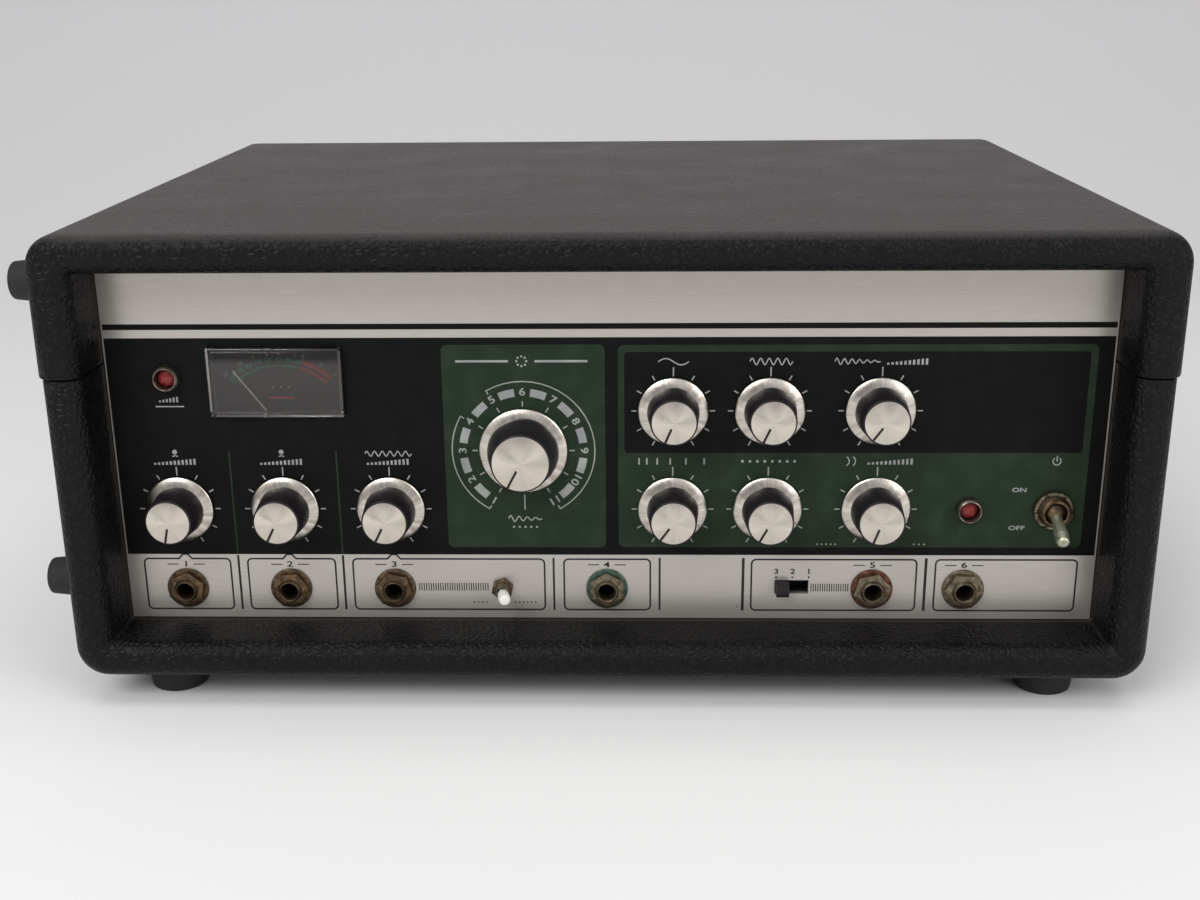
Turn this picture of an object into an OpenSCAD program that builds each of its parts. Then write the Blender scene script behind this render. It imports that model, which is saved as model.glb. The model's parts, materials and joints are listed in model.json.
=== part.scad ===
/* [Case] */
// Width over the lid
case_w = 415; // [405:1:440]
// Depth from the front lip to the rear of the lid
case_d = 305; // [295:1:340]
// Height of the case without its feet
case_h = 173; // [168:1:185]
// Thickness of the tub's side and rear boards, with their covering
wall_t = 15.3; // [14.5:0.1:18]
// Thickness of the bottom board
floor_t = 14.8; // [14:0.1:18]
// Thickness of the lid's top board
top_t = 14.3; // [14:0.1:18]
// How far the lid stands out past the tub
lid_step = 1.2; // [0.6:0.1:2]
// Height of the lid with its open seam
lid_h = 53; // [47:0.5:56]
// Open seam between tub and lid
seam_gap = 0.4; // [0.3:0.1:1]
// Distance of the lid's pins from the front and from the rear of the case
stud_inset = 48.8; // [40:0.1:60]
// Width of the opening in the rear board
rear_open_w = 300; // [250:1:310]
// Height of the opening in the rear board
rear_open_h = 74; // [60:1:80]
// Height of the opening's lower edge above the bottom of the case
rear_open_z = 26; // [24:1:32]
// Radius of the long corners of the case
corner_r = 12; // [9:0.5:16]
// Radius of the rounded front and rear edges
edge_r = 6.5; // [4:0.1:7]

/* [Front panel] */
// How far the panel sits behind the front of the case
panel_recess = 26; // [22:0.5:32]
// Thickness of the aluminium panel
panel_t = 2; // [1.5:0.1:3]
// Gap round the panel
panel_gap = 0.5; // [0.3:0.1:0.9]
// Thickness of the folded steel chassis
sheet_t = 1.5; // [1:0.1:2]
// Height of the jack row above the bottom of the case
jack_row = 28; // [27:0.5:31]
// Height of the lower knob row
low_row = 61.5; // [60:0.5:66]
// Height of the upper knob row
high_row = 101.2; // [99:0.5:103]
// Inset of the first left-hand column from the panel's left edge
left_inset = 23.4; // [21:0.1:26]
// Spacing of the three left-hand columns
left_pitch = 41.5; // [38:0.1:42]
// Spacing of the first two right-hand columns
right_pitch = 36.7; // [34:0.1:38]
// Spacing of the volume column and the one left of it
volume_pitch = 41.8; // [38:0.1:44]
// Inset of the volume column from the panel's right edge
volume_inset = 86.3; // [84:0.1:90]
// Column of the spare input jack, from the middle of the panel
input_col = 0; // [-4:0.5:4]
// Inset of the power lamp and the last jack from the panel's right edge
lamp_inset = 50.6; // [48:0.1:53]

/* [Knobs] */
// Diameter of a small knob's spun skirt
skirt_d = 26.6; // [24:0.1:28]
// Diameter of its black body at the skirt
grip_d = 20; // [18:0.1:21]
// Diameter of its metal cap
cap_d = 16.5; // [14:0.1:17]
// Height of a small knob above the panel
knob_h = 16.5; // [14:0.1:18]
// Column of the mode knob
mode_col = -31.7; // [-34:0.1:-29]
// Height of the mode knob above the bottom of the case
mode_row = 85.4; // [82:0.1:88]
// Diameter of the mode knob's skirt
mode_skirt_d = 33.9; // [31:0.1:36]
// Diameter of its black body at the skirt
mode_grip_d = 27.6; // [25:0.1:29]
// Diameter of its metal cap
mode_cap_d = 21.4; // [19:0.1:23]
// Height of the mode knob above the panel
mode_knob_h = 16.8; // [14:0.1:18]
// Diameter of every control shaft
shaft_d = 6; // [5:0.1:6.35]
// Diameter of a potentiometer's threaded bush
bush_d = 8; // [7.5:0.1:9]
// Diameter of a potentiometer's can
pot_d = 20; // [16:0.5:24]
// Depth of a potentiometer's can
pot_depth = 11; // [8:0.5:14]
// Depth of the rotary switch behind the chassis
switch_depth = 34; // [26:1:38]

/* [Jacks and switches] */
// Bore of a jack, for a quarter-inch plug
jack_bore_d = 6.4; // [6.35:0.01:6.6]
// Diameter of a jack's threaded nose
nose_d = 9.5; // [9:0.1:10]
// How far the nose stands out of the panel
nose_out = 4.8; // [4:0.1:6]
// Depth of a jack's bore from the front of its nose
jack_depth = 30; // [26:0.5:32]
// Diameter of a jack's washer
washer_d = 16.4; // [15:0.1:17.5]
// Width of a jack's nut across its flats
jack_nut_af = 13; // [12:0.1:14]
// Inset of the power toggle from the panel's right edge
toggle_inset = 18.3; // [17:0.1:21]
// Diameter of the power toggle's threaded bush
toggle_bush_d = 11.9; // [11:0.1:12.5]
// Diameter of the power toggle's ring nut
ring_nut_d = 15.4; // [14:0.1:17]
// Tilt of the power lever from straight out, each way
toggle_tilt = 25; // [20:0.5:27]
// Length of the power lever from its pivot
toggle_len = 17; // [14:0.5:18]
// Column of the small toggle
mini_col = -41.4; // [-44:0.1:-38]
// Tilt of the small toggle's lever from straight out, each way
mini_tilt = 12; // [8:0.5:14]
// Inset of the slide switch's slot, to its left end, from the panel's right edge
slot_inset = 124.4; // [122:0.1:127]
// Length of the slot
slot_len = 13.3; // [12:0.1:16]
// Height of the slot
slot_h = 5.7; // [5:0.1:7]
// Width of the slider
slider_w = 5.1; // [4:0.1:6]
// Diameter of a lamp's bezel
bezel_d = 10; // [9:0.1:11]
// Diameter of a lamp's red lens
lens_d = 7; // [6:0.1:7.4]
// Height of the peak lamp above the bottom of the case
peak_row = 114.7; // [112:0.1:117]

/* [Meter] */
// Inset of the window's middle from the panel's left edge
meter_inset = 65.2; // [63:0.1:67]
// Middle of the window above the bottom of the case
meter_row = 113.1; // [112:0.1:114]
// Width of the window
window_w = 51.9; // [48:0.1:54]
// Height of the window
window_h = 27.6; // [26:0.1:29]
// How far the clear window stands out of the panel
window_out = 3; // [2:0.1:4]
// Length of the needle from its pivot
needle_len = 29.5; // [27:0.1:30]
// Angle of the resting needle left of upright
needle_rest = 37; // [34:0.5:38]

/* [Feet and handle] */
// Height of the base feet
foot_h = 12; // [10:0.5:16]
// Diameter of the base feet
foot_d = 25; // [20:0.5:30]
// Inset of the base feet from the sides of the tub
foot_inset_x = 33; // [25:0.5:50]
// Inset of the base feet from the front and the rear of the case
foot_inset_y = 24.5; // [20:0.5:50]
// Height of the side feet from the side of the lid
side_foot_h = 10; // [8:0.5:12]
// Diameter of the side feet
side_foot_d = 16; // [14:0.5:20]
// Inset of the side feet from the front and the rear of the case
side_foot_inset = 18; // [16:0.5:30]
// Height of the lower side feet above the bottom of the case
side_foot_low = 36.5; // [30:0.5:45]
// Distance of the upper side feet from the top of the case
side_foot_top = 19; // [18:0.5:24]
// Length of the handle over its end caps
handle_len = 176; // [160:1:200]
// Width of the handle's strap
strap_w = 24; // [20:0.5:28]
// Thickness of the strap
strap_t = 3; // [2.5:0.1:4]
// Height of the strap's middle above the bottom of the case
handle_row = 76; // [60:1:90]

/* [Tape deck] */
// Thickness of the deck plate
deck_t = 2; // [1.5:0.1:3]
// Distance of the tape's straight run behind the panel
tape_run = 74.5; // [70:0.5:78]
// Width of the tape
tape_w = 6.35; // [6:0.05:6.5]
// Thickness of the tape's solid
tape_t = 0.4; // [0.3:0.05:0.6]
// Height of the tape's lower edge above the deck
tape_lift = 3; // [2.5:0.1:4]
// Height of the tank's walls above the deck
tank_h = 13; // [12:0.5:16]
// Spacing of the tape's passes in the tank
pass_gap = 16; // [12:0.5:16]
// Diameter of the guide posts
guide_d = 10; // [8:0.5:11]
// Spacing of the heads
head_pitch = 27; // [24:0.5:28]
// Diameter of the capstan
capstan_d = 6; // [5:0.1:8]
// Inset of the capstan from the right edge of the deck
capstan_inset = 71.5; // [69.5:0.5:75.5]
// Diameter of the pinch roller
roller_d = 24; // [20:0.5:25]
// Diameter of the flywheel
flywheel_d = 80; // [70:1:84]
// Thickness of the flywheel
fly_h = 10; // [8:0.5:12]
// Diameter of the motor's pulley
pulley_d = 12; // [10:0.5:16]
// Distance of the motor's shaft from the rear of the chassis
motor_inset = 63.5; // [60:0.5:68]
// Diameter of the motor
motor_d = 62; // [54:1:66]
// Height of the motor's can
motor_h = 40; // [32:1:44]

/* [Electronics] */
// Width of the left circuit board
left_board_w = 140; // [120:1:150]
// Depth of the left circuit board
left_board_d = 92; // [80:1:100]
// Width of the right circuit board
right_board_w = 78; // [70:1:90]
// Depth of the right circuit board
right_board_d = 80; // [70:1:100]
// Distance of the boards behind the panel
board_back = 36; // [34:0.5:44]
// Height of the boards above the chassis floor
board_lift = 8; // [6:0.5:12]
// Length of the transformer's core
core_w = 64; // [54:1:70]
// Height of the transformer's core
core_h = 54; // [44:1:60]
// Thickness of the transformer's core
core_d = 24; // [20:1:30]
// Length of the reverb tank
reverb_w = 235; // [220:1:240]
// Depth of the reverb tank
reverb_d = 84; // [76:1:90]
// Height of the reverb tank
reverb_h = 28; // [24:1:33]

/* [Hidden] */
$fn = 64;

// Clearances: cut overrun, fitted pieces, running shafts, moving neighbours, holes in sheet
over = 1;
fit = 0.05;
run_fit = 0.05;
clear = 0.35;
hole_fit = 0.15;

// The case in its frame: x to the right, y to the rear, z up from the table
y_front = -case_d / 2;
y_rear = case_d / 2;
y_panel = y_front + panel_recess;
seam_h = case_h - lid_h;
z_case = foot_h;
z_floor = z_case + floor_t;
z_seam = z_case + seam_h;
tub_w = case_w - 2 * lid_step;
tub_rear = y_rear - lid_step;
inner_w = tub_w - 2 * wall_t;
rear_in = tub_rear - wall_t;
round_r = min(edge_r, min(floor_t, top_t, wall_t) / 2 - 0.2);
long_r = max(corner_r, round_r + over);

// Columns and depths on the panel; depths count outwards from its face
panel_edge = inner_w / 2 - panel_gap;
panel_h = case_h - floor_t - top_t - 2 * panel_gap;
left_col = -panel_edge + left_inset;
meter_col = -panel_edge + meter_inset;
volume_col = panel_edge - volume_inset;
lamp_col = panel_edge - lamp_inset;
toggle_col = panel_edge - toggle_inset;
slot_x = panel_edge - slot_inset;
left_cols = [for (i = [0:2]) left_col + i * left_pitch];
right_cols = [volume_col - volume_pitch - right_pitch, volume_col - volume_pitch, volume_col];
small_knobs = [for (x = left_cols) [x, low_row], for (x = right_cols) [x, high_row],
    for (x = right_cols) [x, low_row]];
jack_cols = concat(left_cols, [input_col, volume_col, lamp_col]);
lamps = [[left_col, peak_row], [lamp_col, low_row]];
back = -panel_t - sheet_t;
nut_t = 2;
nut_out = 3.2;

// Pointer angles of the knobs, clockwise from the top: left row, upper row, lower row, mode
pointer = [192, 207, 207, 203, 205, 216, 216, 209, 200];
mode_pointer = 208;

// The deck stands just above the seam, so that the lifted lid bares it
deck_rise = 2;
z_deck = z_seam + deck_rise;
z_top = z_deck + deck_t;
tray_gap = 1.5;
tray_rear_gap = 3;
tray_w = inner_w - 2 * tray_gap;
tray_rear = rear_in - tray_rear_gap;
deck_back = 34;
y_deck = y_panel + deck_back;
y_tape = y_panel + tape_run;
z_tape = z_top + tape_lift;
capstan_col = tray_w / 2 - capstan_inset;
y_capstan = y_tape + tape_t / 2 + clear + capstan_d / 2;
y_roller = y_tape - tape_t / 2 - clear - roller_d / 2;
y_motor = tray_rear - motor_inset;
motor_reach = y_motor - y_capstan;

// Heads stand in a row left of the capstan: erase, record, three playback
head_w = 12;
head_d = 12;
head_h = 14;
head_gap = 30;
heads = [for (i = [4:-1:0]) capstan_col - head_gap - i * head_pitch];

// The tank's box in plan, and the tape's passes inside it
tank_side_gap = 10;
tank_front_gap = 37;
tank_rear_gap = 8;
tank_capstan_gap = 48;
tank_l = -tray_w / 2 + tank_side_gap;
tank_r = capstan_col - tank_capstan_gap;
tank_f = y_tape + tank_front_gap;
tank_b = tray_rear - tank_rear_gap;
tank_wall = 1.5;
tank_floor = 1.5;
turn_room = 15;
pass_room_l = 28;
pass_room_r = 20;
pass_l = tank_l + pass_room_l;
pass_r = tank_r - pass_room_r;
turn = pass_gap / 2;
pass_b = tank_b - turn_room;
passes = 1 + 2 * floor((pass_b - tank_f - turn_room) / (2 * pass_gap));
pass_f = pass_b - (passes - 1) * pass_gap;
guide_r = guide_d / 2 + tape_t / 2 + fit;
exit_gap = 61;
return_gap = 23;
exit_x = heads[0] - exit_gap;
return_x = capstan_col + return_gap;
post_inset = 7;
tank_posts = [for (x = [tank_l + post_inset, tank_r - post_inset])
    for (y = [tank_f + post_inset, tank_b - post_inset]) [x, y]];

// Pinch arm: its pivot lies to the right of the capstan, nearer the panel
arm_reach_x = 28;
arm_reach_y = 17.5;
arm_x = capstan_col + arm_reach_x;
arm_y = y_roller - arm_reach_y;
arm_t = 2;
arm_w = 10;
hub_d = 13;
hub_h = 5;
pin_d = 4;
post_d = 6;
roller_h = 11;
roller_lift = 1.2;
arm_lift = 0.5;
z_roller = z_top + roller_lift;
z_arm = z_roller + roller_h + arm_lift;

// Flywheel and belt hang under the deck, the motor under the belt
fly_drop = 8;
motor_drop = 12;
z_fly = z_deck - fly_drop - fly_h;
belt_t = 1;
belt_h = 4;
z_motor_top = z_fly - motor_drop;

vinyl = [0.09, 0.09, 0.10];
silver = [0.78, 0.77, 0.74];
steel = [0.6, 0.62, 0.64];
rubber = [0.06, 0.06, 0.06];
black = [0.05, 0.05, 0.06];

// ---- shared shapes ----

// Draws in panel coordinates: x across, y up from the bottom of the case, z out of the panel
module on_panel(x = 0, up = 0) {
    translate([x, y_panel, z_case + up]) rotate([90, 0, 0]) children();
}

// What an edge loses when it is rounded; the board lies at negative x and positive y
module edge_cut() {
    difference() {
        translate([-round_r, -over]) square(round_r + over);
        translate([-round_r, round_r]) circle(round_r);
    }
}

// The same loss turned about an inside corner
module inner_edge_cut() {
    difference() {
        translate([0, -over]) square([round_r, round_r + over]);
        translate([round_r, round_r]) circle(round_r);
    }
}

// Front view of a half case: straight above, with two round lower corners
module half_outline(w, h) {
    translate([-w / 2, long_r]) square([w, h - long_r]);
    translate([-w / 2 + long_r, 0]) square([w - 2 * long_r, h]);
    for (side = [-1, 1]) translate([side * (w / 2 - long_r), long_r]) circle(long_r);
}

// Rounded edges round the outside of a half case's front
module outer_rounding(w, h) {
    for (side = [0, 1]) mirror([side, 0, 0]) {
        translate([w / 2, 0, long_r]) linear_extrude(h) edge_cut();
        translate([w / 2 - long_r, 0, long_r]) rotate([-90, 0, 0])
            rotate_extrude(angle = 90) translate([long_r, 0]) edge_cut();
    }
    translate([-w / 2 + long_r, 0, 0]) rotate([0, 90, 0])
        linear_extrude(w - 2 * long_r) edge_cut();
}

// Rounded edges round the mouth of a half case
module inner_rounding(h, base_t) {
    for (side = [0, 1]) mirror([side, 0, 0]) translate([inner_w / 2, 0, base_t]) {
        mirror([1, 0, 0]) linear_extrude(h) edge_cut();
        rotate([-90, 0, 0]) rotate_extrude(angle = 90) inner_edge_cut();
    }
    translate([inner_w / 2, 0, base_t]) rotate([0, -90, 0])
        linear_extrude(inner_w) edge_cut();
}

// Half a case, standing on its outer board, open to the front and at the seam
module half_case(w, h, base_t, depth, rear_t) {
    difference() {
        translate([0, y_front + depth, 0]) rotate([90, 0, 0])
            linear_extrude(depth) half_outline(w, h);
        translate([-inner_w / 2, y_front - over, base_t])
            cube([inner_w, depth - rear_t + over, h]);
        translate([0, y_front, 0]) outer_rounding(w, h);
        translate([0, y_front, 0]) inner_rounding(h, base_t);
        translate([0, y_front + depth, 0]) mirror([0, 1, 0]) outer_rounding(w, h);
    }
}

// Holes that the panel and the chassis share
module panel_holes() {
    for (k = small_knobs) translate(k) circle(d = bush_d + 2 * hole_fit);
    translate([mode_col, mode_row]) circle(d = bush_d + 2 * hole_fit);
    for (x = jack_cols) translate([x, jack_row]) circle(d = nose_d + 2 * hole_fit);
    for (l = lamps) translate(l) circle(d = barrel_d + 2 * hole_fit);
    translate([toggle_col, low_row]) circle(d = toggle_bush_d + 2 * hole_fit);
    translate([mini_col, jack_row]) circle(d = mini_bush_d + 2 * hole_fit);
    translate([slot_x, jack_row + slot_up - slot_h / 2]) square([slot_len, slot_h]);
    translate([meter_col - window_w / 2, meter_row - window_h / 2]) square([window_w, window_h]);
}

// A threaded bush with its shaft hole, from depth a behind the panel to b in front
module bush(d, bore, a, b) {
    translate([0, 0, a]) difference() {
        cylinder(d = d, h = b - a);
        translate([0, 0, -over]) cylinder(d = bore, h = b - a + 2 * over);
    }
}

module hex_nut(af, bore, t) {
    difference() {
        cylinder(d = af / cos(30), h = t, $fn = 6);
        translate([0, 0, -over]) cylinder(d = bore, h = t + 2 * over);
    }
}

// ---- case ----

stud_d = 6;
stud_len = 14;
stud_x = inner_w / 2 + wall_t / 2;
studs = [for (s = [-1, 1]) for (y = [y_front + stud_inset, y_rear - stud_inset]) [s * stud_x, y]];

module lower_cabinet() {
    color(vinyl) difference() {
        translate([0, 0, z_case]) half_case(tub_w, seam_h, floor_t, tub_rear - y_front, wall_t);
        translate([-rear_open_w / 2, rear_in - over, z_case + rear_open_z])
            cube([rear_open_w, wall_t + 2 * over, rear_open_h]);
        for (p = studs) translate([p[0], p[1], z_seam - stud_len - over])
            cylinder(d = stud_d + 2 * clear, h = stud_len + 2 * over);
    }
}

module lid_shell() {
    color(vinyl) translate([0, 0, z_case + case_h]) mirror([0, 0, 1])
        half_case(case_w, lid_h - seam_gap, top_t, case_d, wall_t + lid_step);
}

// Four steel pins locate the lid in holes in the tub's top edge
module lid_pins() {
    color(steel) for (p = studs) translate([p[0], p[1], z_seam - stud_len])
        cylinder(d = stud_d, h = stud_len + seam_gap);
}

foot_taper = 3;
foot_hole_d = 9;
foot_hole = 5;

module base_feet() {
    foot_x = tub_w / 2 - foot_inset_x;
    foot_y = case_d / 2 - foot_inset_y;
    for (x = [-foot_x, foot_x]) for (y = [-foot_y, foot_y])
        color(rubber) translate([x, y, 0]) difference() {
            cylinder(d1 = foot_d - foot_taper, d2 = foot_d, h = foot_h);
            translate([0, 0, -over]) cylinder(d = foot_hole_d, h = foot_hole + over);
        }
}

// A rubber foot on the left side, from the board at x to the plane that the unit stands on
module side_foot(x, y, up) {
    len = case_w / 2 + side_foot_h - x;
    color(rubber) translate([-x, y, z_case + up]) rotate([0, -90, 0])
        cylinder(d1 = side_foot_d, d2 = side_foot_d - 2, h = len);
}

side_foot_y = case_d / 2 - side_foot_inset;

module side_feet_lower() {
    for (y = [-side_foot_y, side_foot_y]) side_foot(tub_w / 2, y, side_foot_low);
}

module side_feet_upper() {
    for (y = [-side_foot_y, side_foot_y]) side_foot(case_w / 2, y, case_h - side_foot_top);
}

// ---- handle on the right side ----

strap_out = case_w / 2 + side_foot_h;
cap_len = 24;
cap_end = 6;
cap_rim = 3;
ramp = 14;

// Plan of the strap between the side of the tub and its outermost plane, grown by g
module strap_plan(g) {
    a = handle_len / 2 - cap_end + g;
    b = handle_len / 2 - cap_len;
    in = tub_w / 2;
    bow = strap_out - strap_t;
    polygon([[in, -a], [in, -b], [bow, -b + ramp], [bow, b - ramp], [in, b], [in, a],
        [in + strap_t + g, a], [in + strap_t + g, b + g], [strap_out + g, b - ramp + g],
        [strap_out + g, -b + ramp - g], [in + strap_t + g, -b - g], [in + strap_t + g, -a]]);
}

module handle_strap() {
    color(black) translate([0, 0, z_case + handle_row - strap_w / 2])
        linear_extrude(strap_w) strap_plan(0);
}

module handle_caps() {
    cap_h = strap_w + 2 * cap_rim;
    cap_out = strap_t + cap_rim;
    color(steel) for (s = [-1, 1]) difference() {
        translate([tub_w / 2, s * (handle_len / 2 - cap_len / 2) - cap_len / 2,
            z_case + handle_row - cap_h / 2]) cube([cap_out, cap_len, cap_h]);
        translate([0, 0, z_case + handle_row - strap_w / 2 - fit])
            linear_extrude(strap_w + 2 * fit) strap_plan(fit);
    }
}

// ---- panel, chassis and rear panel ----

module front_panel() {
    color(silver) on_panel() translate([0, 0, -panel_t]) linear_extrude(panel_t) difference() {
        translate([-panel_edge, floor_t + panel_gap]) square([2 * panel_edge, panel_h]);
        panel_holes();
    }
}

module sub_panel() {
    top_gap = 3;
    color(steel) on_panel() translate([0, 0, back]) linear_extrude(sheet_t) difference() {
        translate([-tray_w / 2, floor_t]) square([tray_w, panel_h - top_gap]);
        panel_holes();
    }
}

module chassis_tray() {
    tray_f = y_panel - back;
    tray_d = tray_rear - tray_f;
    color(steel) {
        translate([-tray_w / 2, tray_f, z_floor]) cube([tray_w, tray_d, sheet_t]);
        for (s = [0, 1]) mirror([s, 0, 0])
            translate([tray_w / 2 - sheet_t, tray_f, z_floor])
                cube([sheet_t, tray_d, z_deck - z_floor]);
    }
}

inlet_inset = 22;
fuse_inset = 58;
inlet_x = rear_open_w / 2 - inlet_inset;
fuse_x = rear_open_w / 2 - fuse_inset;
fitting_z = z_case + rear_open_z + rear_open_h / 2;
fuse_d = 12;
fuse_len = 22;
fuse_cap = 8;
inlet_d = 13;
inlet_len = 4;
inlet_out = 7;
lead_d = 7;
rear_t = 2;
vents = 14;
vent_pitch = 9;
vent_w = 3.5;
vent_h = 22;
vent_gap = 8;
vent_inset = 22;

module rear_panel() {
    margin = 10;
    color(black) translate([0, rear_in, 0]) rotate([90, 0, 0]) linear_extrude(rear_t) difference() {
        translate([-rear_open_w / 2 - margin, z_case + rear_open_z - margin + over])
            square([rear_open_w + 2 * margin, rear_open_h + 2 * margin - over]);
        for (i = [0:vents - 1]) for (low = [-vent_gap / 2 - vent_h, vent_gap / 2])
            translate([-rear_open_w / 2 + vent_inset + i * vent_pitch, fitting_z + low])
                square([vent_w, vent_h]);
        translate([fuse_x, fitting_z]) circle(d = fuse_d + 2 * hole_fit);
        translate([inlet_x, fitting_z]) circle(d = inlet_d + 2 * hole_fit);
    }
}

// Fuse holder and the empty inlet bush of the mains lead
module rear_fittings() {
    color(black) translate([0, rear_in - rear_t, fitting_z]) rotate([-90, 0, 0]) {
        translate([fuse_x, 0, -fuse_len]) cylinder(d = fuse_d, h = fuse_len + rear_t);
        translate([fuse_x, 0, rear_t]) cylinder(d = fuse_d + 4, h = fuse_cap);
        translate([inlet_x, 0, -inlet_len]) difference() {
            union() {
                cylinder(d = inlet_d, h = inlet_len + rear_t);
                translate([0, 0, inlet_len + rear_t])
                    cylinder(d1 = inlet_d + 5, d2 = inlet_d, h = inlet_out);
            }
            translate([0, 0, -over])
                cylinder(d = lead_d, h = inlet_len + rear_t + inlet_out + 2 * over);
        }
    }
}

// ---- knobs ----

skirt_gap = 0.9;
skirt_top = 4.6;
skirt_t = 0.8;
skirt_rim = 0.6;
cap_t = 1.4;
cap_wall = 0.6;
cap_drop = 0.3;
groove_w = 0.9;
groove_t = 0.4;
groove_start = 0.3;
shaft_end = 3;
hub_top = 11;

// A knob with a spun skirt, a tapered black body, a turned cap and its shaft, at a pointer angle
module knob(x, up, angle, skirt, grip, cap, h) {
    s = skirt / 2;
    g = grip / 2;
    c = cap / 2;
    bore = shaft_d / 2 + cap_drop;
    hub = shaft_d / 2 + fit;
    low = back - pot_depth + shaft_end;
    on_panel(x, up) rotate(-angle) {
        color(silver) rotate_extrude() polygon([[bore, skirt_top - skirt_t],
            [g, skirt_top - skirt_t], [s - 1, skirt_gap], [s, skirt_gap],
            [s, skirt_gap + skirt_rim], [g + skirt_t, skirt_top], [bore, skirt_top]]);
        color(black) rotate_extrude() polygon([[hub, skirt_top + fit], [g, skirt_top + fit],
            [c + cap_wall, h - cap_drop], [c + fit, h - cap_drop], [c + fit, h - cap_t],
            [0, h - cap_t], [0, hub_top + fit], [hub, hub_top + fit]]);
        color(silver) difference() {
            translate([0, 0, h - cap_t + fit]) cylinder(r = c, h = cap_t - fit);
            translate([-groove_w / 2, c * groove_start, h - groove_t]) cube([groove_w, c, over]);
        }
        color(steel) translate([0, 0, low]) cylinder(d = shaft_d, h = hub_top - low);
    }
}

module small_knob(i) {
    knob(small_knobs[i][0], small_knobs[i][1], pointer[i], skirt_d, grip_d, cap_d, knob_h);
}

module knob_mic_one() small_knob(0);
module knob_mic_two() small_knob(1);
module knob_instrument() small_knob(2);
module knob_bass() small_knob(3);
module knob_treble() small_knob(4);
module knob_reverb() small_knob(5);
module knob_rate() small_knob(6);
module knob_intensity() small_knob(7);
module knob_echo() small_knob(8);

module knob_mode() {
    knob(mode_col, mode_row, mode_pointer, mode_skirt_d, mode_grip_d, mode_cap_d, mode_knob_h);
}

can_end = 2;

module pot_bodies() {
    bore = shaft_d + 2 * run_fit;
    lug_pitch = 5;
    lug_len = 6;
    lug_w = 2;
    lug_t = 0.8;
    lug_back = 5;
    color(steel) for (k = small_knobs) on_panel(k[0], k[1]) {
        bush(bush_d, bore, back - over, nut_out);
        difference() {
            translate([0, 0, back - pot_depth]) cylinder(d = pot_d, h = pot_depth);
            translate([0, 0, back - pot_depth + can_end]) cylinder(d = bore, h = pot_depth);
        }
        for (i = [-1:1]) translate([i * lug_pitch - lug_w / 2, -pot_d / 2 - lug_len, back - lug_back])
            cube([lug_w, lug_len + 3, lug_t]);
    }
}

// Rotary switch: a front plate, three wafers and a rear strap on two long bolts
module mode_switch() {
    bore = shaft_d + 2 * run_fit;
    wafer_d = 32;
    wafer_t = 2;
    wafer_gap = 9;
    core = 12;
    bolt_d = 3;
    bolt_x = 12.5;
    strap_h = 6;
    color(steel) on_panel(mode_col, mode_row) {
        bush(bush_d, bore, back - over, nut_out);
        difference() {
            union() {
                translate([0, 0, back - bolt_d]) cylinder(d = wafer_d, h = bolt_d);
                for (i = [1:3]) translate([0, 0, back - i * wafer_gap - wafer_t])
                    cylinder(d = wafer_d, h = wafer_t);
                translate([0, 0, back - switch_depth]) cylinder(d = core, h = switch_depth - over);
                for (s = [-1, 1]) translate([s * bolt_x, 0, back - switch_depth])
                    cylinder(d = bolt_d, h = switch_depth - over);
                translate([-bolt_x - bolt_d / 2, -strap_h / 2, back - switch_depth])
                    cube([2 * bolt_x + bolt_d, strap_h, sheet_t]);
            }
            translate([0, 0, back - pot_depth + can_end]) cylinder(d = bore, h = pot_depth);
        }
    }
}

// ---- jacks, lamps and switches ----

mini_bush_d = 6;
mini_nut_af = 7.8;
bush_nut_af = 10.5;
barrel_d = lens_d + 1;
slot_up = 0.8;
jack_body = 16;
jack_end = 3;
washer_t = 1;
jack_nut_t = 2.4;
toggle_pivot = 3;
ball_d = 8;
toggle_out = 5.5;
mini_pivot = 3;
mini_ball_d = 4;
mini_out = 5;

// Hexagonal nuts of the pots and the rotary switch, and the two toggles' nuts
module panel_nuts() {
    bore = bush_d + 2 * fit;
    ring_t = 2.2;
    ring_lip = 0.8;
    color(steel) {
        for (k = concat(small_knobs, [[mode_col, mode_row]]))
            on_panel(k[0], k[1]) hex_nut(bush_nut_af, bore, nut_t);
        on_panel(toggle_col, low_row) difference() {
            union() {
                cylinder(d = ring_nut_d, h = ring_t);
                translate([0, 0, ring_t])
                    cylinder(d1 = ring_nut_d, d2 = ring_nut_d - 2 * ring_lip, h = ring_lip);
            }
            translate([0, 0, -over])
                cylinder(d = toggle_bush_d + 2 * fit, h = ring_t + ring_lip + 2 * over);
        }
        on_panel(mini_col, jack_row) hex_nut(mini_nut_af, mini_bush_d + 2 * fit, nut_t);
    }
}

module jack_sockets() {
    body_depth = jack_depth - nose_out + back + jack_end;
    nose_taper = 1.4;
    color([0.45, 0.40, 0.30]) for (x = jack_cols) on_panel(x, jack_row) difference() {
        union() {
            translate([0, 0, back - over]) cylinder(d = nose_d, h = nose_out - back);
            translate([0, 0, nose_out - over])
                cylinder(d1 = nose_d, d2 = nose_d - nose_taper, h = over);
            translate([-jack_body / 2, -jack_body / 2, back - body_depth])
                cube([jack_body, jack_body, body_depth]);
        }
        translate([0, 0, nose_out - jack_depth]) cylinder(d = jack_bore_d, h = jack_depth + over);
    }
}

module jack_nuts() {
    bore = nose_d + 2 * fit;
    color([0.45, 0.40, 0.30]) for (x = jack_cols) on_panel(x, jack_row) {
        difference() {
            cylinder(d = washer_d, h = washer_t);
            translate([0, 0, -over]) cylinder(d = bore, h = washer_t + 2 * over);
        }
        translate([0, 0, washer_t + fit]) hex_nut(jack_nut_af, bore, jack_nut_t);
    }
}

lamp_depth = 9;

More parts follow.
